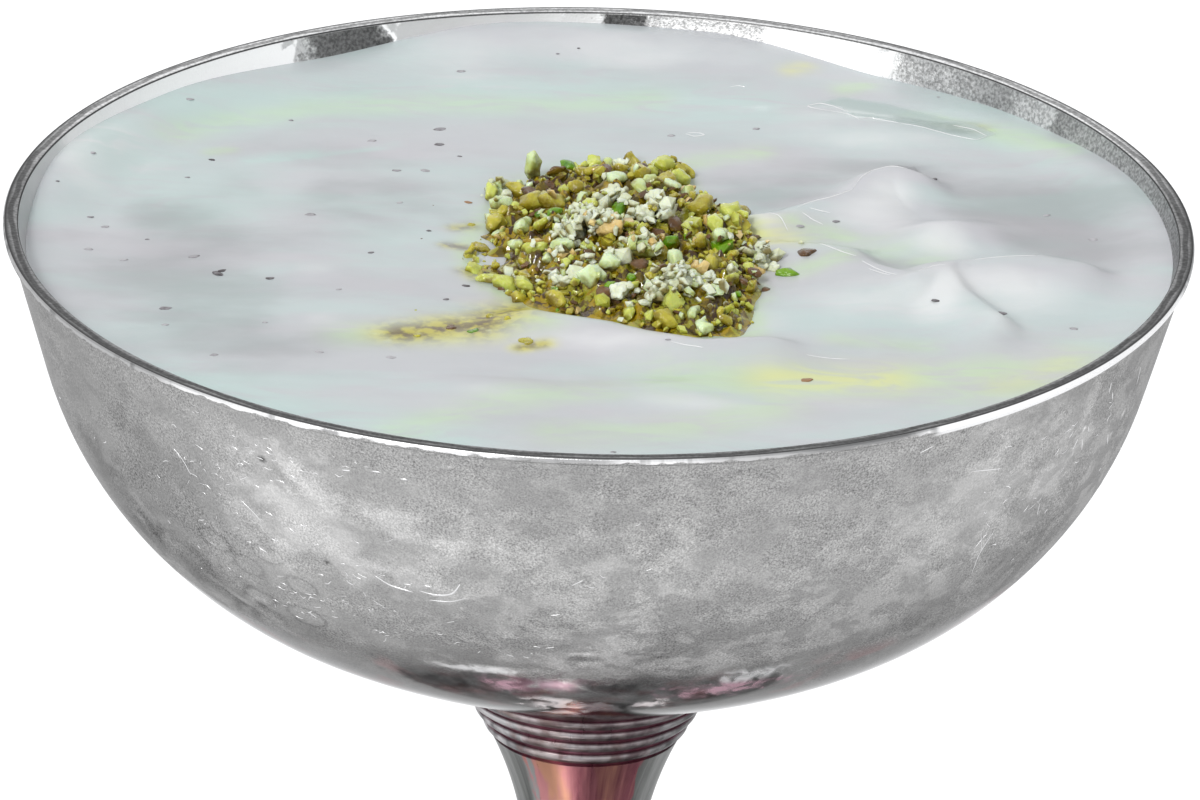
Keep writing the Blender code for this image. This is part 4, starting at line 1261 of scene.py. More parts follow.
def lip_top_painted_light(place, skin, line):
    """The lip's top: painted darker in front, a painted highlight band at its outer edge, painted dark lines
    beside it.
    """
    level = spread(split(place)[1], 0.004, 0.03, 0.26, 0.75)
    out = vectors("LENGTH", stretched(place, (1, 1, 0))) + swayed(skin, LIP_WAVE_SIZE, 2.0, LIP_WAVE)
    inner_band, outer_band = (
        spread(out, BOWL_HIGH.x - first, BOWL_HIGH.x - last, dark, light)
        for first, last, dark, light in LIP_TOP_PAINTED_BANDS
    )
    speckled = spread(grain(place, LIP_SPECKLE_SIZE), 0.3, 0.7, 0.75, 1.25)
    return blend(line, scaled((1.0, 1.0, 1.0), level * (inner_band + outer_band) * speckled), LIP_LINE_PAINTED_SHADE)


def lip_side_painted_light(finish, skin, level):
    """Where the lip's outer side shows, where its painted highlight is white, and its painted light by
    direction.
    """
    front = turned_by(finish.place, FROM_FRONT)
    side_level = looked_up(front, LIP_SIDE_PAINTED_LIGHT)
    along = stretched(skin, (1.0, 0.0, 0.0))
    notched = spread(grain(along, 0.0016, 3.0) + grain(along, 0.012), 0.8, 0.96, 0.5, 1.0)
    full = spread(side_level, 0.92, 0.99)
    uneven = spread(grain(along, 0.0018, 4.0), 0.3, 0.7, 0.15, 0.65) * (1.0 - full)
    above = calculate("GREATER_THAN", level - (uneven * LIP_HEIGHT + (BOWL_HIGH.z - LIP_HEIGHT)), 0.0)
    wide = spread(front, *WIDE_FROM) * spread(front, *WIDE_TO)
    below = spread(finish.read("lip_low"), 0.35, 0.5) * wide
    side = (finish.read("lip_side") * above).most(below)
    return side, full, scaled(side_level, notched.most(full))


def silver_finish(colours):
    """Satin silver, polished and worn near the stem, with painted reflections there and on the lip and inner
    face.
    """
    finish = Finish("mottled_silver")
    place = finish.place
    skin, level = unrolled(place, BOWL_SKIN), split(place)[2]
    grey, frost, fine = satin_ground(colours, place, skin, level)
    polished = spread(level + grain(place, CLOUD_SIZE) * POLISH_SWAY, *POLISHED_BELOW)
    # Painted reflections beside the stem
    shade, painted_glow_share = neck_painted_reflection(grey, place, skin, polished, colours)
    inner, inner_painted_reflection = inner_face_painted_reflection(place)
    inner_zone, line = finish.read("inner_face"), finish.read("lip_edge")
    # Painted reflections on the inner face
    shade = blend(inner_zone, shade, inner_painted_reflection)
    # Painted light and shade of the lip's top
    shade = blend(finish.read("lip_top").most(line), shade, lip_top_painted_light(place, skin, line))
    side, full, side_painted_light = lip_side_painted_light(finish, skin, level)
    # Painted light and shade of the lip's outer side
    shade = blend(side, shade, side_painted_light)
    # Where painted highlights and glows are white, the metal scatters light instead of mirroring it
    white = (inner_zone * spread(inner, 0.9, 0.97)).most(side * full).most(painted_glow_share)
    rough = (frost * 0.12 + 0.36) * spread(polished, 0.0, 1.0, 1.0, 0.3)
    surface = (frost * 0.35 + fine * 0.65) * (1.0 - polished)
    return finish.done({
        "Base Color": shade, "Metallic": spread(white, 0.0, 1.0, 1.0, 0.1), "Roughness": rough,
        "Specular Tint": (0.48, 0.48, 0.48, 1.0), "Normal": relief(surface, 0.00003),
    })


def bright_metal_finish():
    """The bare bright metal in a scratch."""
    finish = Finish("bright_metal")
    shade = blend(grain(finish.place, 0.0008), (0.7, 0.7, 0.7), (1.0, 1.0, 1.0))
    return finish.done({"Base Color": shade, "Metallic": 1.0, "Roughness": 0.3})


def stem_finish():
    """Silver worn to rose copper in an upright part, pink in the rings' grooves, patchy below, with painted
    light.
    """
    finish = Finish("worn_silver")
    place, skin = finish.place, unrolled(finish.place, STEM_SKIN)
    girth, level, _ = split(skin)
    edge = swayed(stretched(skin, (1.0, 0.35, 1.0)), 0.0016, 4.0, 0.001)
    worn = spread(abs(girth + edge), WORN_HALF + WORN_EDGE, WORN_HALF - WORN_EDGE)
    on_foot = spread(level, 0.024, 0.019)
    ringed = spread(level, RING_LOWEST - 0.0003, RING_LOWEST + 0.0006)
    patchy = spread(grain(place, 0.005, 4.0, 0.3), 0.56, 0.6, 0.0, 0.6)
    worn = blend(on_foot, worn, patchy) * spread(ringed, 0.0, 1.0, 1.0, 0.15)

    streaks = grain(stretched(skin, (1.0, 0.05, 1.0)), 0.0034, 4.0, 0.2)
    fine = grain(stretched(skin, (1.0, 0.1, 1.0)), 0.0006, 3.0)
    # A painted highlight streak is added to the streaky light of the metal
    light = streaks * 0.7 + fine * 0.3 + soft_spot(skin, STEM_PAINTED_SHINE, STEM_PAINTED_SHINE_HALF, 0.0) * 0.3
    silver = between(light, 0.35, 0.75, (0.1, 0.105, 0.1), (0.34, 0.345, 0.34))
    bead = between(grain(skin, 0.0022, 3.0), 0.35, 0.65, (0.15, 0.145, 0.15), (0.5, 0.49, 0.495))
    # Beads painted lighter on the left and darker on the right
    bead = scaled(bead, spread(girth, -0.006, 0.01, 1.0, 0.5))
    foot = between(grain(place, 0.006, 5.0, 0.4), 0.4, 0.6, (0.34, 0.34, 0.34), (0.62, 0.62, 0.62))
    silver = blend(on_foot, blend(ringed, silver, bead), foot)
    orange = grain(stretched(skin, (1.0, 0.5, 1.0)), 0.004, 3.0)
    copper = between(orange, 0.42, 0.58, (0.66, 0.29, 0.3), (0.7, 0.36, 0.24))
    copper = between(light, 0.36, 0.86, (0.2, 0.065, 0.085), copper)
    pink = blend(grain(skin, 0.0016, 3.0), (0.06, 0.022, 0.035), (0.4, 0.16, 0.22))
    return finish.done({
        "Base Color": blend(finish.read("groove") * 0.85, blend(worn, silver, copper), pink),
        "Metallic": 1.0, "Roughness": spread(fine, 0.2, 0.8, 0.26, 0.4),
        "Specular Tint": (0.7, 0.7, 0.7, 1.0), "Normal": relief(grain(skin, 0.0008, 3.0), 0.00002),
    })


def cream_finish(colours):
    """Smooth wet cream: cool pale ground, soft mint parts, green and yellow streaks, painted highlights and
    shade.
    """
    finish = Finish("shrikhand_cream")
    place = finish.place
    drawn = stretched(place, (0.4, 1.0, 1.0))
    mint = spread(grain(drawn, 0.009, 4.0, 0.5), 0.42, 0.64, 0.0, 0.56)
    warm = spread(grain(stretched(place, (0.35, 1.0, 1.0), (0.1, 0.2, 0)), 0.008, 3.0), 0.44, 0.66)
    shade = blend(warm * 0.6, blend(mint, colours.cream, colours.mint), WARM_SHADE)
    # Painted highlights on the lumps and painted shade in the hollows, made a little uneven
    painted_light_and_shade = finish.read("painted_light_and_shade") + swayed(stretched(place, (0.55, 1.0, 1.0)), 0.006, 4.0, 0.21)
    shade = blend(spread(painted_light_and_shade, 0.0, 1.0, 0.0, 0.9), shade, LUMP_PAINTED_HIGHLIGHT)
    tints = split(finish.read("tint", "Color"), "Color")
    uneven = spread(grain(drawn, 0.0028, 4.0, 1.2), 0.3, 0.6, 0.3, 1.0)
    for channel, tint in ((2, colours.mint), (1, colours.green), (0, colours.yellow)):
        shade = blend(tints[channel] * uneven, shade, tint)
    # Painted shade darkens the hollows and sides, streaks and all
    shade = scaled(shade, spread(painted_light_and_shade, -1.0, 0.0, 0.69, 1.0))
    nutty = between(grain(place, 0.0011, 3.0), 0.38, 0.62, (0.13, 0.09, 0.03), (0.45, 0.4, 0.04))
    stain = finish.read("stain") * spread(grain(place, 0.0014, 3.0), 0.15, 0.42)
    wet = finish.read("wet")
    shade = blend(wet * 0.85, blend(stain, shade, nutty), WET_CREAM)
    rough = spread(grain(drawn, 0.005, 3.0), 0.3, 0.7, 0.36, 0.48)
    return finish.done({
        "Base Color": shade, "Roughness": rough * spread(wet, 0.0, 1.0, 1.0, 0.3),
        **flesh(0.3, (1.0, 0.95, 0.85), 0.0008), **coat(0.2, 0.15), "Specular IOR Level": 0.45,
        "Normal": relief(grain(drawn, 0.0014, 4.0), 0.00005),
    })


def ridge_painted_highlight_finish():
    """Thin wet edges of the cream that catch the light, coloured lighter than the cream as a painted
    highlight.
    """
    finish = Finish("ridge_painted_highlight")
    shade = blend(grain(finish.place, 0.0008), (0.62, 0.63, 0.63), (0.82, 0.82, 0.82))
    return finish.done({"Base Color": shade, "Roughness": 0.2, **coat(1.0, 0.03)})


def paste_finish(colours):
    """Wet nut paste with small bits under it: olive, amber and dark brown in uneven cells, darkened as
    painted shade.
    """
    finish = Finish("nut_paste")
    place = finish.place
    bent = worked_out("ShaderNodeTexNoise", {"Vector": place, "Scale": 900.0, "Detail": 3.0}, "Color")
    moved = vectors("ADD", place, scaled(bent, 0.001))
    cells = worked_out("ShaderNodeTexVoronoi", {"Vector": moved, "Scale": 1 / PASTE_CELL}, "Color")
    mottle = spread(grain(place, 0.0008, 4.0, 0.5), 0.35, 0.65, -0.25, 0.25)
    shade = colours.paste
    for own, (first, last, bit) in zip(split(cells, "Color"), PASTE_BITS):
        shade = blend(spread(own + mottle, first, last), shade, bit)
    shade = blend(spread(finish.read("share"), 0.96, 1.01, 0.0, 0.6), shade, PASTE_RIM)
    return finish.done({
        "Base Color": shade, "Roughness": 0.12, "Specular IOR Level": 0.12, **coat(0.8, 0.02),
        **flesh(0.3, (1.0, 0.7, 0.15), 0.0008), "Normal": relief(grain(place, 0.0005, 4.0), 0.00022),
    })


def piece_finish(kind):
    """The cut face or skin of one kind of piece, each a little different, painted lighter towards its top,
    and darker low down: partly wet with paste, partly painted shade.
    """
    dark, light, roughness, gloss, weight, _ = KINDS[kind]
    finish = Finish(f"pistachio_{kind}")
    place, rise = finish.place, finish.read("rise")
    # Painted light: each piece lighter towards its top
    lit = finish.read("shade") * 0.35 + spread(rise, -0.4, 0.9, 0.0, 0.35)
    mottle = spread(grain(place, 0.0014, 5.0, 0.4), 0.38, 0.62)
    shade = blend(calculate("ADD", mottle * 0.45, lit, clamp=True), dark, light)
    # Darker low down: partly wet with paste, partly painted shade
    low = spread(rise + swayed(place, 0.0009, 4.0, 0.45), 0.35, -0.7, 0.0, 0.85)
    return finish.done({
        "Base Color": blend(low, shade, WET_AND_PAINTED_LOW_SHADE), "Roughness": roughness, "Specular IOR Level": 0.2,
        **coat(gloss, 0.02), **flesh(weight, (1.0, 0.8, 0.3), 0.0012),
        "Normal": relief(grain(place, 0.00028, 4.0), 0.0001),
        "Coat Normal": relief(grain(place, 0.0005), 0.0003),
    })


def speck_finish():
    """Dark specks of spice, softened by the cream over them."""
    finish = Finish("dark_speck")
    tone = finish.read("shade")
    mottle = swayed(finish.place, 0.0005, 3.0, 0.2)
    shade = blend(calculate("ADD", tone, mottle, clamp=True), (0.035, 0.026, 0.03), (0.4, 0.39, 0.41))
    shade = between(tone, -0.4, -0.6, shade, (0.26, 0.12, 0.03))
    return finish.done({"Base Color": shade, "Roughness": 0.35})


def plain_floor():
    finish = Finish("pale_floor")
    shade = blend(grain(finish.place, 0.25), (0.86, 0.86, 0.865), (0.88, 0.88, 0.88))
    return finish.done({"Base Color": shade, "Roughness": 0.9, "Specular IOR Level": 0.1})


def make_bowl(outline, colours):
    """The spun bowl, with a hand-worked surface."""
    half, rim = outline.s.wall / 2, outline.s.rim_height
    outer, lip = outline.outer_face(), outline.lip()
    inner = outline.wall_face(-half) + outline.straight(-half, rim - LIP_ROUND)
    profile = outer + lip + inner[::-1]
    rings = turn_profile(profile, BOWL_AROUND)

    x, y, z = (rings[..., axis].ravel() for axis in range(3))
    worked = uneven_at(np.arctan2(y, x) * WORKED_RADIUS, z, WORKED_UNEVEN)
    inward = BOWL_INSET * (1 + 0.6 * np.clip(worked, -1, 1)).reshape(rings.shape[:2])
    inward *= np.clip((rim - rings[..., 2]) / WORKED_EASE, 0.25, 1.0)
    radius = np.hypot(rings[..., 0], rings[..., 1])
    rings[..., :2] *= (1 - inward / np.maximum(radius, WORKED_EASE))[..., None]

    mesh = closed_mesh("bowl_metal", (0, 0, outline.bottom(half)), rings, (0, 0, outline.bottom(-half)))
    low = len(outer)
    top, last = low + 2 * LIP_STEPS + 2, low + len(lip) - 1
    zones = {
        "lip_low": [low], "lip_side": range(low + 1, top - 1), "lip_top": range(top, last - 1),
        "lip_edge": [top - 1, top, last - 2, last - 1], "inner_face": range(last, len(profile)),
    }
    for name, places in zones.items():
        values = np.zeros(len(profile))
        values[list(places)] = 1.0
        store_rings(mesh, name, values, BOWL_AROUND)
    return add_piece("bowl_metal", mesh, silver_finish(colours), "mottled_silver", "coupe_bowl")


def stem_profile(outline):
    """The stem's (radius, height) points from its seat under the bowl, and how deep in a groove each is."""
    s = outline.s
    seat_radius = outline.base_radius + s.wall / 2 - SEAM_GAP / 2
    seat_edge = math.acos((s.collar_radius - COLLAR_ROUND) / seat_radius)
    profile = arc(outline.base, seat_radius, -math.pi / 2, -seat_edge, SEAT_STEPS)[1:]
    ring_top = RING_LOWEST + NECK_RINGS * RING_PITCH
    fillet = np.linspace(profile[-1][1], ring_top, len(NECK_FILLET) + 2)[1:-1]
    profile += [(outline.neck_radius(height) + grown, height) for height, grown in zip(fillet, NECK_FILLET)]
    grooves = [0.0] * len(profile)
    for step in range(NECK_RINGS * RING_STEPS):
        height = ring_top - step / RING_STEPS * RING_PITCH
        phase = (step % RING_STEPS) / RING_STEPS
        bead = math.sin(math.pi * phase / BEAD_SHARE) ** BEAD_POWER if phase < BEAD_SHARE else 0.0
        profile.append((outline.neck_radius(height) + (bead - 0.5) * RING_RELIEF, height))
        grooves.append(1.0 - min(1.0, bead * 1.6))
    heights = np.linspace(RING_LOWEST, s.waist_height, NECK_STEPS)
    profile += [(outline.neck_radius(height), height) for height in heights]
    profile += [outline.foot_point(angle) for angle in np.linspace(0, FLARE_END, FLARE_STEPS)[1:]]
    profile += arc((s.foot_radius, FOOT_EDGE / 2), FOOT_EDGE / 2, math.pi / 2, -math.pi / 2, FOOT_STEPS)
    profile += [(s.foot_radius - FOOT_LAND, 0.0)]
    for angle in np.linspace(HOLLOW_FROM, HOLLOW_TO, FOOT_STEPS):
        radius, height = outline.foot_point(angle, FOOT_WALL)
        if height > 0:
            profile.append((radius, min(height, FOOT_HOLLOW)))
    profile += [(HOLLOW_MIDDLE, FOOT_HOLLOW)]
    return profile, grooves + [0.0] * (len(profile) - len(grooves)), outline.base[1] - seat_radius


def make_stem(outline):
    """The cast stem: collar soldered to the bowl, turned rings, waist and flared foot."""
    profile, grooves, seat = stem_profile(outline)
    mesh = closed_mesh("stem_metal", (0, 0, seat), turn_profile(profile, STEM_AROUND), (0, 0, FOOT_HOLLOW))
    mesh.flip_normals()
    store_rings(mesh, "groove", grooves, STEM_AROUND)
    return add_piece("stem_metal", mesh, stem_finish(), "worn_silver", "coupe_stem")


def make_cream(outline, colours):
    """The shrikhand, from just inside the metal up to its folded surface."""
    offset = INTO_WALL - outline.s.wall / 2
    highest = outline.s.rim_height - HIDDEN_BELOW
    hidden = [point for point in outline.wall_face(offset)[::HIDDEN_STEP] if point[1] < highest]
    side = turn_profile(hidden, CREAM_AROUND)
    angle = round_angles(CREAM_AROUND)
    edge = outline.s.rim_height - round_table(EDGE_DROPS, angle)
    reach = np.array([outline.wall_radius(height, offset) for height in edge])
    x, y = shrinking_rings(angle, reach, CREAM_RINGS)
    z = cream_height(x.ravel(), y.ravel(), outline).reshape(x.shape)
    rings = np.concatenate([side, np.stack([x, y, z], axis=-1)])
    top = (0, 0, cream_height([0.0], [0.0], outline)[0])
    mesh = closed_mesh("cream", (0, 0, outline.bottom(offset)), rings, top)

    x, y, _ = np.vstack([rings.reshape(-1, 3), [0, 0, 0], top]).T
    tints = np.zeros((len(x), 4))
    tints[:, 3] = 1.0
    for channel, strength, width, route in STREAKS:
        tints[:, channel] = np.maximum(tints[:, channel], strength * along_route(x, y, route, width))
    halo = np.exp(-(((heap_share(x, y) - 1.0) / HALO_WIDTH) ** 2))
    tints[:, 1] = np.maximum(tints[:, 1], HALO_STRENGTH * halo)
    store(mesh, "tint", "FLOAT_COLOR", tints)
    stains = [strength * along_route(x, y, route, width) for strength, width, route in STAINS]
    store(mesh, "stain", "FLOAT", np.max(stains, axis=0))
    # Painted light and shade: lighter on the lumps, darker in the hollows and towards the sides
    shades = sum(lump_height(x, y, spot) for spot in CREAM_PAINTED_LIGHT)
    store(mesh, "painted_light_and_shade", "FLOAT", np.clip(shades, -1, 1))
    store(mesh, "wet", "FLOAT", inside_share(x, y, WET_FILM, WET_EDGE))
    return add_piece("cream", mesh, cream_finish(colours), "shrikhand_cream", "shrikhand")


def smooth_route(points, steps):
    """Many points along a route that is rounded at its corners."""
    points = np.asarray(points, float)
    gaps = np.hypot(*np.diff(points, axis=0).T)
    along = np.concatenate([[0.0], np.cumsum(gaps)])
    places = np.linspace(0.0, along[-1], steps)
    route = np.stack([np.interp(places, along, values) for values in points.T], axis=-1)
    for _ in range(4):
        route[1:-1] = (route[:-2] + 2 * route[1:-1] + route[2:]) / 4
    return route


def add_strip(made, points, normals, half_width, height):
    """Adds a thin domed strip along points on a surface, narrower towards its ends."""
    side = np.cross(np.gradient(points, axis=0), normals)
    side /= np.maximum(np.linalg.norm(side, axis=1, keepdims=True), TINY)
    share = np.linspace(0, 1, len(points))[:, None]
    taper = 0.25 + 0.75 * np.sin(math.pi * share) ** 0.5
    rows = []
    for across, up in STRIP_SECTION:
        row = points + side * across * half_width * taper + normals * up * height * taper
        rows.append([made.verts.new(place) for place in row])
    for one, other in zip(rows, rows[1:] + rows[:1]):
        for i in range(len(points) - 1):
            made.faces.new((one[i], one[i + 1], other[i + 1], other[i]))
    for end in (0, -1):
        made.faces.new([row[end] for row in rows])


def strip_mesh(name, strips):
    """A mesh of strips, each given by its points, normals, half width and height."""
    made = bmesh.new()
    for strip in strips:
        add_strip(made, *strip)
    bmesh.ops.recalc_face_normals(made, faces=made.faces[:])
    mesh = finished_mesh(name, made)
    mesh.shade_smooth()
    return mesh


def make_ridges(outline):
    """Thin glossy ridges where the cream was drawn up, and round the wet film, lighter as a painted
    highlight.
    """
    strips = []
    for half_width, route in CREAM_RIDGES:
        flat = smooth_route(route, 8 * len(route))
        points = np.column_stack([flat, cream_height(flat[:, 0], flat[:, 1], outline)])
        normals = np.tile((0.0, 0.0, 1.0), (len(points), 1))
        strips.append((points, normals, half_width * RIDGE_SLIM, RIDGE_HEIGHT))
    mesh = strip_mesh("cream_ridges", strips)
    return add_piece("cream_ridges", mesh, ridge_painted_highlight_finish(), "shrikhand_cream")


def scratch_routes():
    """The long scratches and gatherings of small ones: half width, (degrees, height) points."""
    draw = random.Random(SCRATCH_SEED)
    routes = list(BOWL_SCRATCHES)
    for middle, turn_spread, height, height_spread, leaning, count in SCRATCH_AREAS:
        for _ in range(count):
            turn = middle + draw.gauss(0, turn_spread * 0.6)
            level = height + draw.gauss(0, height_spread * 0.7)
            level = min(max(level, SCRATCHED[0]), SCRATCHED[1])
            run = draw.uniform(0.2, 1.1)
            lean, bow = draw.gauss(0, leaning), draw.gauss(0, SCRATCH_BOW)
            middle_point = (turn + run / 2, level + lean / 2 + bow)
            route = ((turn, level), middle_point, (turn + run, level + lean))
            routes.append((draw.uniform(0.000025, 0.00006), route))
    return routes


def make_scratches(outline):
    """Fine bright scratches on the bowl."""
    radii, levels = np.array(outline.outer_face()).T
    strips = []
    for half_width, route in scratch_routes():
        route = [(math.radians(turn) * BOWL_SKIN, level) for turn, level in route]
        flat = smooth_route(route, 4 * len(route))
        angle, level = flat[:, 0] / BOWL_SKIN, flat[:, 1]
        radius = np.interp(level, levels, radii) - BOWL_INSET
        above, below = (np.interp(level + step, levels, radii) for step in (SLOPE_STEP, -SLOPE_STEP))
        points = np.column_stack([radius * np.sin(angle), -radius * np.cos(angle), level])
        normals = np.column_stack([np.sin(angle), -np.cos(angle), (below - above) / (2 * SLOPE_STEP)])
        normals /= np.linalg.norm(normals, axis=1, keepdims=True)
        strips.append((points, normals, half_width, SCRATCH_HEIGHT))
    mesh = strip_mesh("bowl_scratches", strips)
    return add_piece("bowl_scratches", mesh, bright_metal_finish(), "mottled_silver")


def make_paste(outline, colours):
    """The wet nut paste that the pieces of the topping lie in."""
    angle = round_angles(HEAP_AROUND)
    reach = round_table(HEAP_REACH, angle) * PASTE_REACH
    x, y = shrinking_rings(angle, reach, HEAP_RINGS)
    x, y = HEAP_CENTRE[0] + x, HEAP_CENTRE[1] + y
    places = x.ravel(), y.ravel()
    thick = heap_thickness(*places)
    bumpy = PASTE_BUMPS * (lumps_at(*places, PASTE_LUMP) + 0.5 * lumps_at(*places, PASTE_LUMP / 2))
    z = cream_height(*places, outline) + thick + bumpy * smooth_step(thick / BUMPY_FROM) - PASTE_EDGE_SUNK
    z = np.minimum(z, HEAP_HIGH.z - PASTE_UNDER_TOP).reshape(x.shape)
    under = np.stack([x[0], y[0], z[0] - HEAP_ROOT], axis=-1)[None]
    rings = np.concatenate([under, np.stack([x, y, z], axis=-1)])
    centre = cream_height([HEAP_CENTRE[0]], [HEAP_CENTRE[1]], outline)[0]
    start = (*HEAP_CENTRE, centre - HEAP_ROOT)
    mesh = closed_mesh("nut_paste", start, rings, (*HEAP_CENTRE, centre + HEAP_THICKNESS))
    x, y, _ = np.vstack([rings.reshape(-1, 3), start, start]).T
    store(mesh, "share", "FLOAT", heap_share(x, y))
    return add_piece("nut_paste", mesh, paste_finish(colours), "chopped_pistachio", "pistachio_topping")


class Pile:
    """Heights of what lies on the cream so far, on a fine grid, so that each piece rests on the others."""

    CELL = 0.0002
    HALF = 0.022

    def __init__(self, outline):
        side = np.arange(-self.HALF, self.HALF + self.CELL / 2, self.CELL)
        self.x, self.y = np.meshgrid(side, side, indexing="ij")
        places = self.x.ravel(), self.y.ravel()
        self.top = (cream_height(*places, outline) + heap_thickness(*places)).reshape(self.x.shape)

    def rest(self, x, y, size, sunk):
        """Sets a piece of half sizes (a, b, c) down and returns its middle's height."""
        reach = math.sqrt(size[0] * size[1])
        low, high = (int((value - 1.2 * reach + self.HALF) / self.CELL) for value in (x, y))
        wide = int(2.4 * reach / self.CELL) + 2
        window = (slice(max(low, 0), low + wide), slice(max(high, 0), high + wide))
        away = np.hypot(self.x[window] - x, self.y[window] - y) / reach
        ground = float(self.top[window][away < 0.8].mean())
        middle = min(ground + size[2] * (1 - 2 * sunk), HEAP_HIGH.z - UNDER_TOP - max(size))
        dome = middle + size[2] * 0.9 * np.sqrt(np.maximum(0.0, 1 - away**2))
        self.top[window] = np.where(away < 1, np.maximum(self.top[window], dome), self.top[window])
        return middle


def chunk_form(name, draw, points, bevel):
    """One chopped form, 2 across: a hull of points on an uneven block, with softened edges."""
    shape = bmesh.new()
    for index in range(points):
        height = 1 - 2 * (index + 0.5) / points
        angle = index * GOLDEN_ANGLE + draw.uniform(-0.45, 0.45)
        ring = math.sqrt(1 - height * height)
        direction = Vector((ring * math.cos(angle), ring * math.sin(angle), height))
        blocky = direction / max(abs(value) for value in direction)
        shape.verts.new(direction.lerp(blocky, BLOCKINESS) * draw.uniform(0.78, 1.06))
    hull = bmesh.ops.convex_hull(shape, input=shape.verts[:])
    spare = hull["geom_interior"] + hull["geom_unused"]
    inside = {item for item in spare if isinstance(item, bmesh.types.BMVert)}
    bmesh.ops.delete(shape, geom=list(inside), context="VERTS")
    bmesh.ops.dissolve_limit(shape, angle_limit=FLAT_BELOW, verts=shape.verts[:], edges=shape.edges[:])
    if bevel:
        edges = shape.edges[:]
        bmesh.ops.bevel(shape, geom=edges, offset=bevel, segments=1, affect="EDGES", clamp_overlap=True)
    bmesh.ops.recalc_face_normals(shape, faces=shape.faces[:])
    mesh = finished_mesh(name, shape)
    mesh.shade_smooth()
    mesh.set_sharp_from_angle(angle=CRISP_FROM)
    store(mesh, "rise", "FLOAT", [point.co.z for point in mesh.vertices])
    return bpy.data.objects.new(name, mesh)


def form_group(name, draw, count, points, bevel):
    """Forms for the scatter to pick from."""
    group = bpy.data.collections.new(f"{name}_forms")
    for index in range(count):
        group.objects.link(chunk_form(f"{name}_{index}", draw, points, bevel))
    return group


def remove_forms(*groups):
    for group in groups:
        for form in list(group.objects):
            bpy.data.objects.remove(form)
        bpy.data.collections.remove(group)


def scatter_tree():
    """Sets a form on each point, turned and sized by the point's values, crumbly and lumpy."""
    tree = bpy.data.node_groups.new("scatter_pieces", "GeometryNodeTree")
    for name, kind in SCATTER_INPUTS.items():
        tree.interface.new_socket(name, in_out="INPUT", socket_type=f"NodeSocket{kind}")
    tree.interface.new_socket("Pieces", in_out="OUTPUT", socket_type="NodeSocketGeometry")
    sockets = add_node(tree, "NodeGroupInput", {}).outputs
    given = {name: Wire(tree, sockets[name]) for name in SCATTER_INPUTS}
    form, turn, size = (
        source(tree, "GeometryNodeInputNamedAttribute", inputs={"Name": name}, data_type=kind)
        for name, kind in (("form", "INT"), ("turn", "FLOAT_VECTOR"), ("size", "FLOAT_VECTOR"))
    )
    forms = worked_out("GeometryNodeCollectionInfo", {"Collection": given["Forms"], 1: True, 2: True})
    placed = worked_out("GeometryNodeInstanceOnPoints", {
        "Points": given["Points"], "Instance": forms, "Pick Instance": True, "Instance Index": form,
        "Rotation": worked_out("FunctionNodeEulerToRotation", {"Euler": turn}), "Scale": size,
    })
    solid = worked_out("GeometryNodeRealizeInstances", {"Geometry": placed})
    finer = worked_out("GeometryNodeSubdivideMesh", {"Mesh": solid, "Level": given["Detail"]})
    place, normal = (source(tree, f"GeometryNodeInput{kind}") for kind in ("Position", "Normal"))
    noise_inputs = {"Vector": place, "Scale": 1.0 / given["Crumble size"], "Detail": 3.0}
    centred = vectors("SUBTRACT", worked_out("ShaderNodeTexNoise", noise_inputs, "Color"), (0.5, 0.5, 0.5))
    lump_inputs = {"Vector": place, "Scale": 1.0 / given["Lump size"]}
    high = LUMP_MIDDLE - worked_out("ShaderNodeTexVoronoi", lump_inputs, "Distance")
    offset = vectors(
        "ADD", scaled(centred, given["Crumble depth"]), scaled(normal, high * given["Lump depth"]),
    )
    shaped = worked_out("GeometryNodeSetPosition", {"Geometry": finer, "Offset": offset})
    dressed = worked_out("GeometryNodeSetMaterial", {"Geometry": shaped, "Material": given["Finish"]})
    add_node(tree, "NodeGroupOutput", {0: dressed})
    return tree


def scatter(name, rows, tree, forms, finish, shape, slot):
    """Makes one piece from rows of (place, turn, size, form, shade)."""
    mesh = bpy.data.meshes.new(name)
    places, *columns = zip(*rows)
    mesh.from_pydata(places, [], [])
    for (kept, kind), values in zip(ROW_COLUMNS, columns):
        store(mesh, kept, kind, values)
    holder = place_object(name, mesh)
    modifier = holder.modifiers.new("scatter", "NODES")
    modifier.node_group = tree
    given = {"Forms": forms, "Finish": finish, **dict(zip(SHAPE_INPUTS, shape))}
    for item in tree.interface.items_tree:
        if item.in_out == "INPUT" and item.name in given:
            modifier[item.identifier] = given[item.name]
    graph = bpy.context.evaluated_depsgraph_get()
    graph.update()
    solid = bpy.data.meshes.new_from_object(
        holder.evaluated_get(graph), preserve_all_data_layers=True, depsgraph=graph,
    )
    bpy.data.objects.remove(holder)
    bpy.data.meshes.remove(mesh)
    solid.name = name
    return add_piece(name, solid, finish, slot)


def kind_at(x, y, draw):
    """A kind drawn by its share, more often white in the middle and amber at the outline."""
    share = heap_share(x, y)
    weights = {kind: values[-1] for kind, values in KINDS.items()}
    weights["white"] *= max(0.0, 1.6 - 1.6 * share)
    weights["amber"] *= 0.6 + 0.9 * share
    return draw.choices(list(weights), list(weights.values()))[0]


def fullness_at(x, y):
    """How thickly the topping lies in a direction from its centre, from 0 to 1."""
    return round_table(HEAP_LEFT_THIN, heap_direction(x, y))


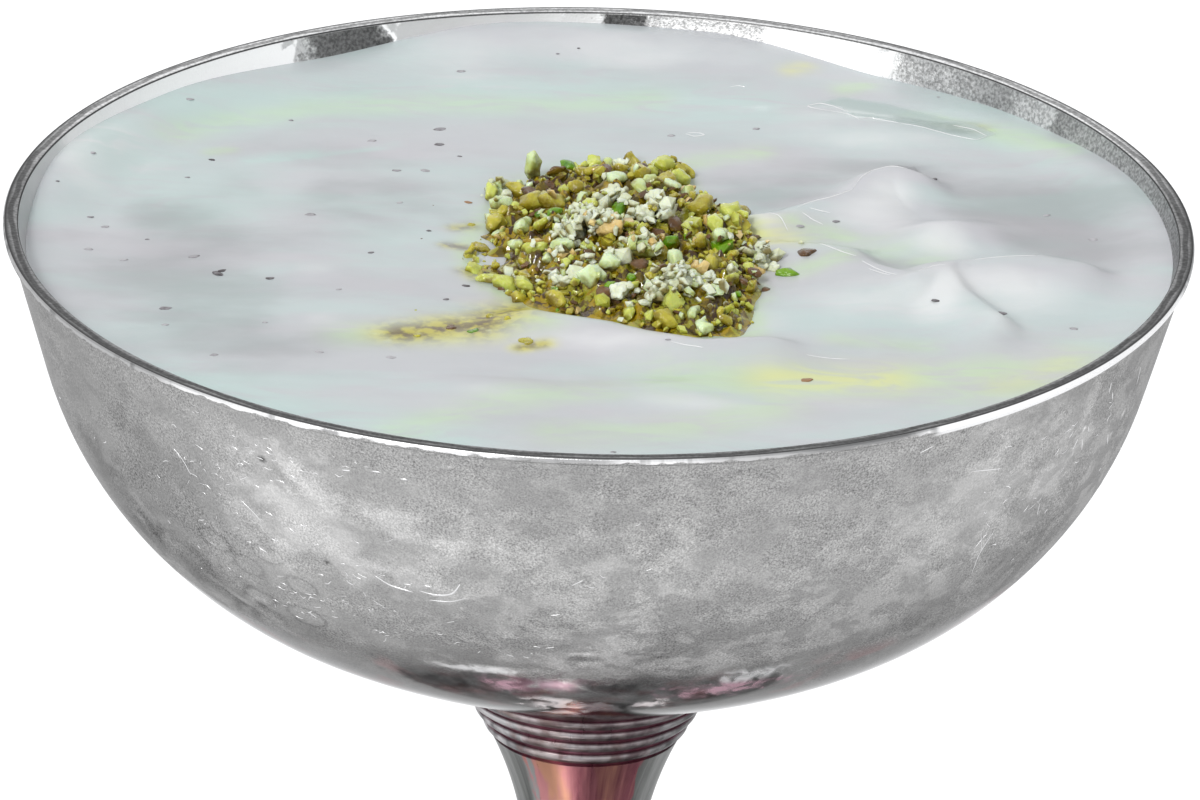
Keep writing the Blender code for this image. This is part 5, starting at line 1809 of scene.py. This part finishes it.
class Topping:
    """Lays the pieces of the topping one after the other, and keeps a row for scatter for each."""

    def __init__(self, outline, sizes):
        self.sizes = sizes
        self.draw = random.Random(sizes.seed)
        self.pile = Pile(outline)
        self.forms = form_group("chopped", self.draw, *CHOPPED_FORMS)
        self.small = form_group("crumb", self.draw, *CRUMB_FORMS)
        self.rows = {kind: [] for kind in KINDS}
        self.crumbs = {kind: [] for kind in KINDS}

    def lay(self, rows, kind, x, y, long, sunk, tilt):
        """Adds a piece of a length at a place, resting on what is there."""
        draw = self.draw
        wide, high = long * draw.uniform(0.5, 0.92), long * draw.uniform(0.42, 0.8)
        if kind == "skin":
            high = long * draw.uniform(0.28, 0.45)
        size = (long / 2, wide / 2, high / 2)
        turn = (draw.gauss(0, tilt), draw.gauss(0, tilt), draw.uniform(0, math.tau))
        if kind == "upright":
            size = (long * 0.25, long * 0.2, long / 2)
            turn, sunk = UPRIGHT_TURN, UPRIGHT_SUNK
        middle = self.pile.rest(x, y, size, sunk)
        forms = self.small if rows is self.crumbs else self.forms
        row = (x, y, middle), turn, size, draw.randrange(len(forms.objects)), draw.random()
        rows["pale" if kind == "upright" else kind].append(row)

    def strew(self, count, shares, inner=0.0):
        """Crumbs spread evenly over the topping, or over its outer part."""
        draw = self.draw
        for _ in range(count):
            angle = draw.uniform(0, math.tau)
            share = 0.98 * math.sqrt(draw.uniform(inner * inner, 1.0))
            reach = round_table(HEAP_REACH, np.float64(angle)) * share
            x, y = HEAP_CENTRE[0] + reach * math.cos(angle), HEAP_CENTRE[1] + reach * math.sin(angle)
            long = self.sizes.crumb * math.exp(draw.gauss(0, 0.38))
            kind = draw.choices(list(shares), list(shares.values()))[0]
            if share < THINNER_FROM or draw.random() < fullness_at(x, y):
                self.lay(self.crumbs, kind, x, y, long, 0.36, 0.6)

    def set_landmarks(self):
        """The pieces that stand out, and those beside the topping."""
        for kind, x, y, long in LANDMARKS:
            self.lay(self.rows, kind, x, y, long, 0.28, 0.35)
        for kind, x, y, long in LOOSE_PIECES:
            self.lay(self.rows, kind, x, y, long, 0.6, 0.12)

    def fill(self):
        """Larger pieces in staggered rows, each a little off its row, between those that stand out."""
        draw, sizes = self.draw, self.sizes
        steps = math.ceil(max(HEAP_REACH) / sizes.spacing)
        for line, column in itertools.product(range(-steps, steps + 1), repeat=2):
            x = HEAP_CENTRE[0] + (column + line % 2 / 2 + draw.uniform(-0.3, 0.3)) * sizes.spacing
            y = HEAP_CENTRE[1] + (line * ROW_STEP + draw.uniform(-0.3, 0.3)) * sizes.spacing
            long = sizes.shortest + (sizes.longest - sizes.shortest) * draw.random() ** 1.6
            kind = kind_at(x, y, draw)
            near = min(math.hypot(x - mark[1], y - mark[2]) - mark[3] / 2 for mark in LANDMARKS)
            share = heap_share(x, y)
            bare = share > THINNER_FROM and draw.random() > fullness_at(x, y)
            if share < 0.95 and near > long * 0.3 and not bare:
                self.lay(self.rows, kind, x, y, long, 0.42, 0.35)

    def gather(self):
        """Clusters of pale crumbs on top."""
        draw = self.draw
        for centre_x, centre_y, reach, count in CRUMB_CLUSTERS:
            for _ in range(count):
                x, y = centre_x + draw.gauss(0, reach), centre_y + draw.gauss(0, reach)
                long = self.sizes.crumb * math.exp(draw.gauss(0.12, 0.32))
                kind = draw.choices(list(CLUSTER_SHARES), list(CLUSTER_SHARES.values()))[0]
                self.lay(self.crumbs, kind, x, y, long, 0.3, 0.6)


def make_topping(outline, sizes):
    """The chopped pistachio: one piece for each kind, larger pieces first, then crumbs on top."""
    topping = Topping(outline, sizes)
    topping.strew(sizes.crumbs, FILL_SHARES)
    topping.strew(sizes.crumbs // 3, FILL_SHARES, 0.8)
    topping.set_landmarks()
    topping.fill()
    topping.strew(sizes.crumbs // 6, CRUMB_SHARES)
    topping.gather()
    tree = scatter_tree()
    slot = "chopped_pistachio"
    for kind in KINDS:
        finish = piece_finish(kind)
        scatter(f"pistachio_{kind}", topping.rows[kind], tree, topping.forms, finish, SHAPES[kind], slot)
        scatter(f"crumbs_{kind}", topping.crumbs[kind], tree, topping.small, finish, CRUMB_SHAPE, slot)
    remove_forms(topping.forms, topping.small)
    bpy.data.node_groups.remove(tree)


def make_specks(outline):
    """Dark specks half sunk in the cream."""
    draw = random.Random(SPECK_SEED)
    forms = form_group("speck", draw, *SPECK_FORMS)
    x, y, _, _ = np.array(SPECKS).T
    rows = []
    for (a, b, size, tone), height in zip(SPECKS, cream_height(x, y, outline).tolist()):
        turn = (0, 0, draw.gauss(0, 0.3))
        half = (size / 2, size * 0.32, SPECK_HALF_HEIGHT)
        rows.append(((a, b, height), turn, half, draw.randrange(SPECK_FORMS[0]), tone))
    tree = scatter_tree()
    scatter("dark_specks", rows, tree, forms, speck_finish(), SPECK_SHAPE, "shrikhand_cream")
    remove_forms(forms)
    bpy.data.node_groups.remove(tree)


def make_camera():
    view = Vector((0, math.cos(CAMERA_ELEVATION), -math.sin(CAMERA_ELEVATION)))
    right = Vector((1, 0, 0))
    up = right.cross(view)
    across = right * math.cos(CAMERA_ROLL) + up * math.sin(CAMERA_ROLL)
    upward = -right * math.sin(CAMERA_ROLL) + up * math.cos(CAMERA_ROLL)
    offset_x = RIM_MIDDLE_PIXEL[0] - IMAGE_SIZE[0] / 2
    offset_y = IMAGE_SIZE[1] / 2 - RIM_MIDDLE_PIXEL[1]
    eye = RIM_MIDDLE - view * CAMERA_DISTANCE
    eye -= across * offset_x / PIXELS_PER_METRE + upward * offset_y / PIXELS_PER_METRE
    data = bpy.data.cameras.new("camera")
    data.sensor_width = SENSOR_WIDTH
    data.lens = PIXELS_PER_METRE * CAMERA_DISTANCE * SENSOR_WIDTH / IMAGE_SIZE[0]
    data.clip_start, data.clip_end = CAMERA_CLIP
    camera = place_object("camera", data)
    camera.matrix_world = Matrix.Translation(eye) @ Matrix((across, upward, -view)).transposed().to_4x4()
    bpy.context.scene.camera = camera


def make_floor():
    shape = bmesh.new()
    bmesh.ops.create_circle(shape, cap_ends=True, segments=96, radius=FLOOR_RADIUS)
    mesh = finished_mesh("floor", shape)
    mesh.materials.append(plain_floor())
    floor = place_object("floor", mesh)
    return floor


def make_stage():
    """The plain pale floor, the soft lights and the even surroundings."""
    floor = make_floor()
    for name, place, width, strength, lights_floor in LIGHTS:
        data = bpy.data.lights.new(name, "SUN")
        data.angle, data.energy = width, strength
        light = place_object(name, data)
        light.location = place
        light.rotation_euler = Vector(place).to_track_quat("Z", "Y").to_euler()
        lit = bpy.data.collections.new(f"{name}_objects")
        lit.objects.link(floor)
        lit.collection_objects[0].light_linking.link_state = "INCLUDE" if lights_floor else "EXCLUDE"
        light.light_linking.receiver_collection = lit
    world = bpy.data.worlds.new("surroundings")
    world.use_nodes = True
    background = world.node_tree.nodes["Background"]
    background.inputs["Color"].default_value, background.inputs["Strength"].default_value = SURROUNDINGS
    bpy.context.scene.world = world
    bpy.context.scene.view_settings.view_transform = "Standard"


class SceneOperator:
    """What the operators share: the coupe's outline, the sizes and the colours."""

    bl_options = {"REGISTER", "UNDO"}

    def prepare(self, context):
        scene = context.scene
        return Outline(scene.coupe_sizes), scene.food_sizes, scene.coupe_colours


class COUPE_OT_metal(SceneOperator, bpy.types.Operator):
    """Makes the bowl and the stem."""

    bl_idname = "coupe.metal"
    bl_label = "Make the metal coupe"

    def execute(self, context):
        outline, _, colours = self.prepare(context)
        make_bowl(outline, colours)
        make_scratches(outline)
        make_stem(outline)
        return {"FINISHED"}


class COUPE_OT_cream(SceneOperator, bpy.types.Operator):
    """Makes the shrikhand with its thin ridges and dark specks."""

    bl_idname = "coupe.cream"
    bl_label = "Make the shrikhand"

    def execute(self, context):
        outline, _, colours = self.prepare(context)
        make_cream(outline, colours)
        make_ridges(outline)
        make_specks(outline)
        return {"FINISHED"}


class COUPE_OT_topping(SceneOperator, bpy.types.Operator):
    """Makes the wet nut paste and the chopped pistachio."""

    bl_idname = "coupe.topping"
    bl_label = "Make the chopped pistachio"

    def execute(self, context):
        outline, sizes, colours = self.prepare(context)
        make_paste(outline, colours)
        make_topping(outline, sizes)
        return {"FINISHED"}


class COUPE_OT_stage(SceneOperator, bpy.types.Operator):
    """Makes the camera, the floor and the lights."""

    bl_idname = "coupe.stage"
    bl_label = "Make the stage"

    def execute(self, context):
        make_camera()
        make_stage()
        return {"FINISHED"}


class COUPE_PT_panel(bpy.types.Panel):
    """Lists the steps in the sidebar."""

    bl_idname = "COUPE_PT_panel"
    bl_label = "Shrikhand"
    bl_space_type = "VIEW_3D"
    bl_region_type = "UI"
    bl_category = "Shrikhand"

    def draw(self, context):
        for settings in GROUPS:
            group = getattr(context.scene, settings)
            box = self.layout.box()
            for name in group.bl_rna.properties.keys():
                if name not in ("rna_type", "name"):
                    box.prop(group, name)
        for step in STEPS:
            self.layout.operator(step.bl_idname)


STEPS = (COUPE_OT_stage, COUPE_OT_metal, COUPE_OT_cream, COUPE_OT_topping)
GROUPS = {"coupe_sizes": CoupeSizes, "food_sizes": FoodSizes, "coupe_colours": Colours}


def register():
    for made in (*GROUPS.values(), *STEPS, COUPE_PT_panel):
        bpy.utils.register_class(made)
    for name, group in GROUPS.items():
        setattr(bpy.types.Scene, name, PointerProperty(type=group))


def unregister():
    for name in GROUPS:
        delattr(bpy.types.Scene, name)
    for made in reversed((*GROUPS.values(), *STEPS, COUPE_PT_panel)):
        bpy.utils.unregister_class(made)


def main():
    register()
    bpy.ops.coupe.stage()
    bpy.ops.coupe.metal()
    bpy.ops.coupe.cream()
    bpy.ops.coupe.topping()


if __name__ == "__main__":
    main()
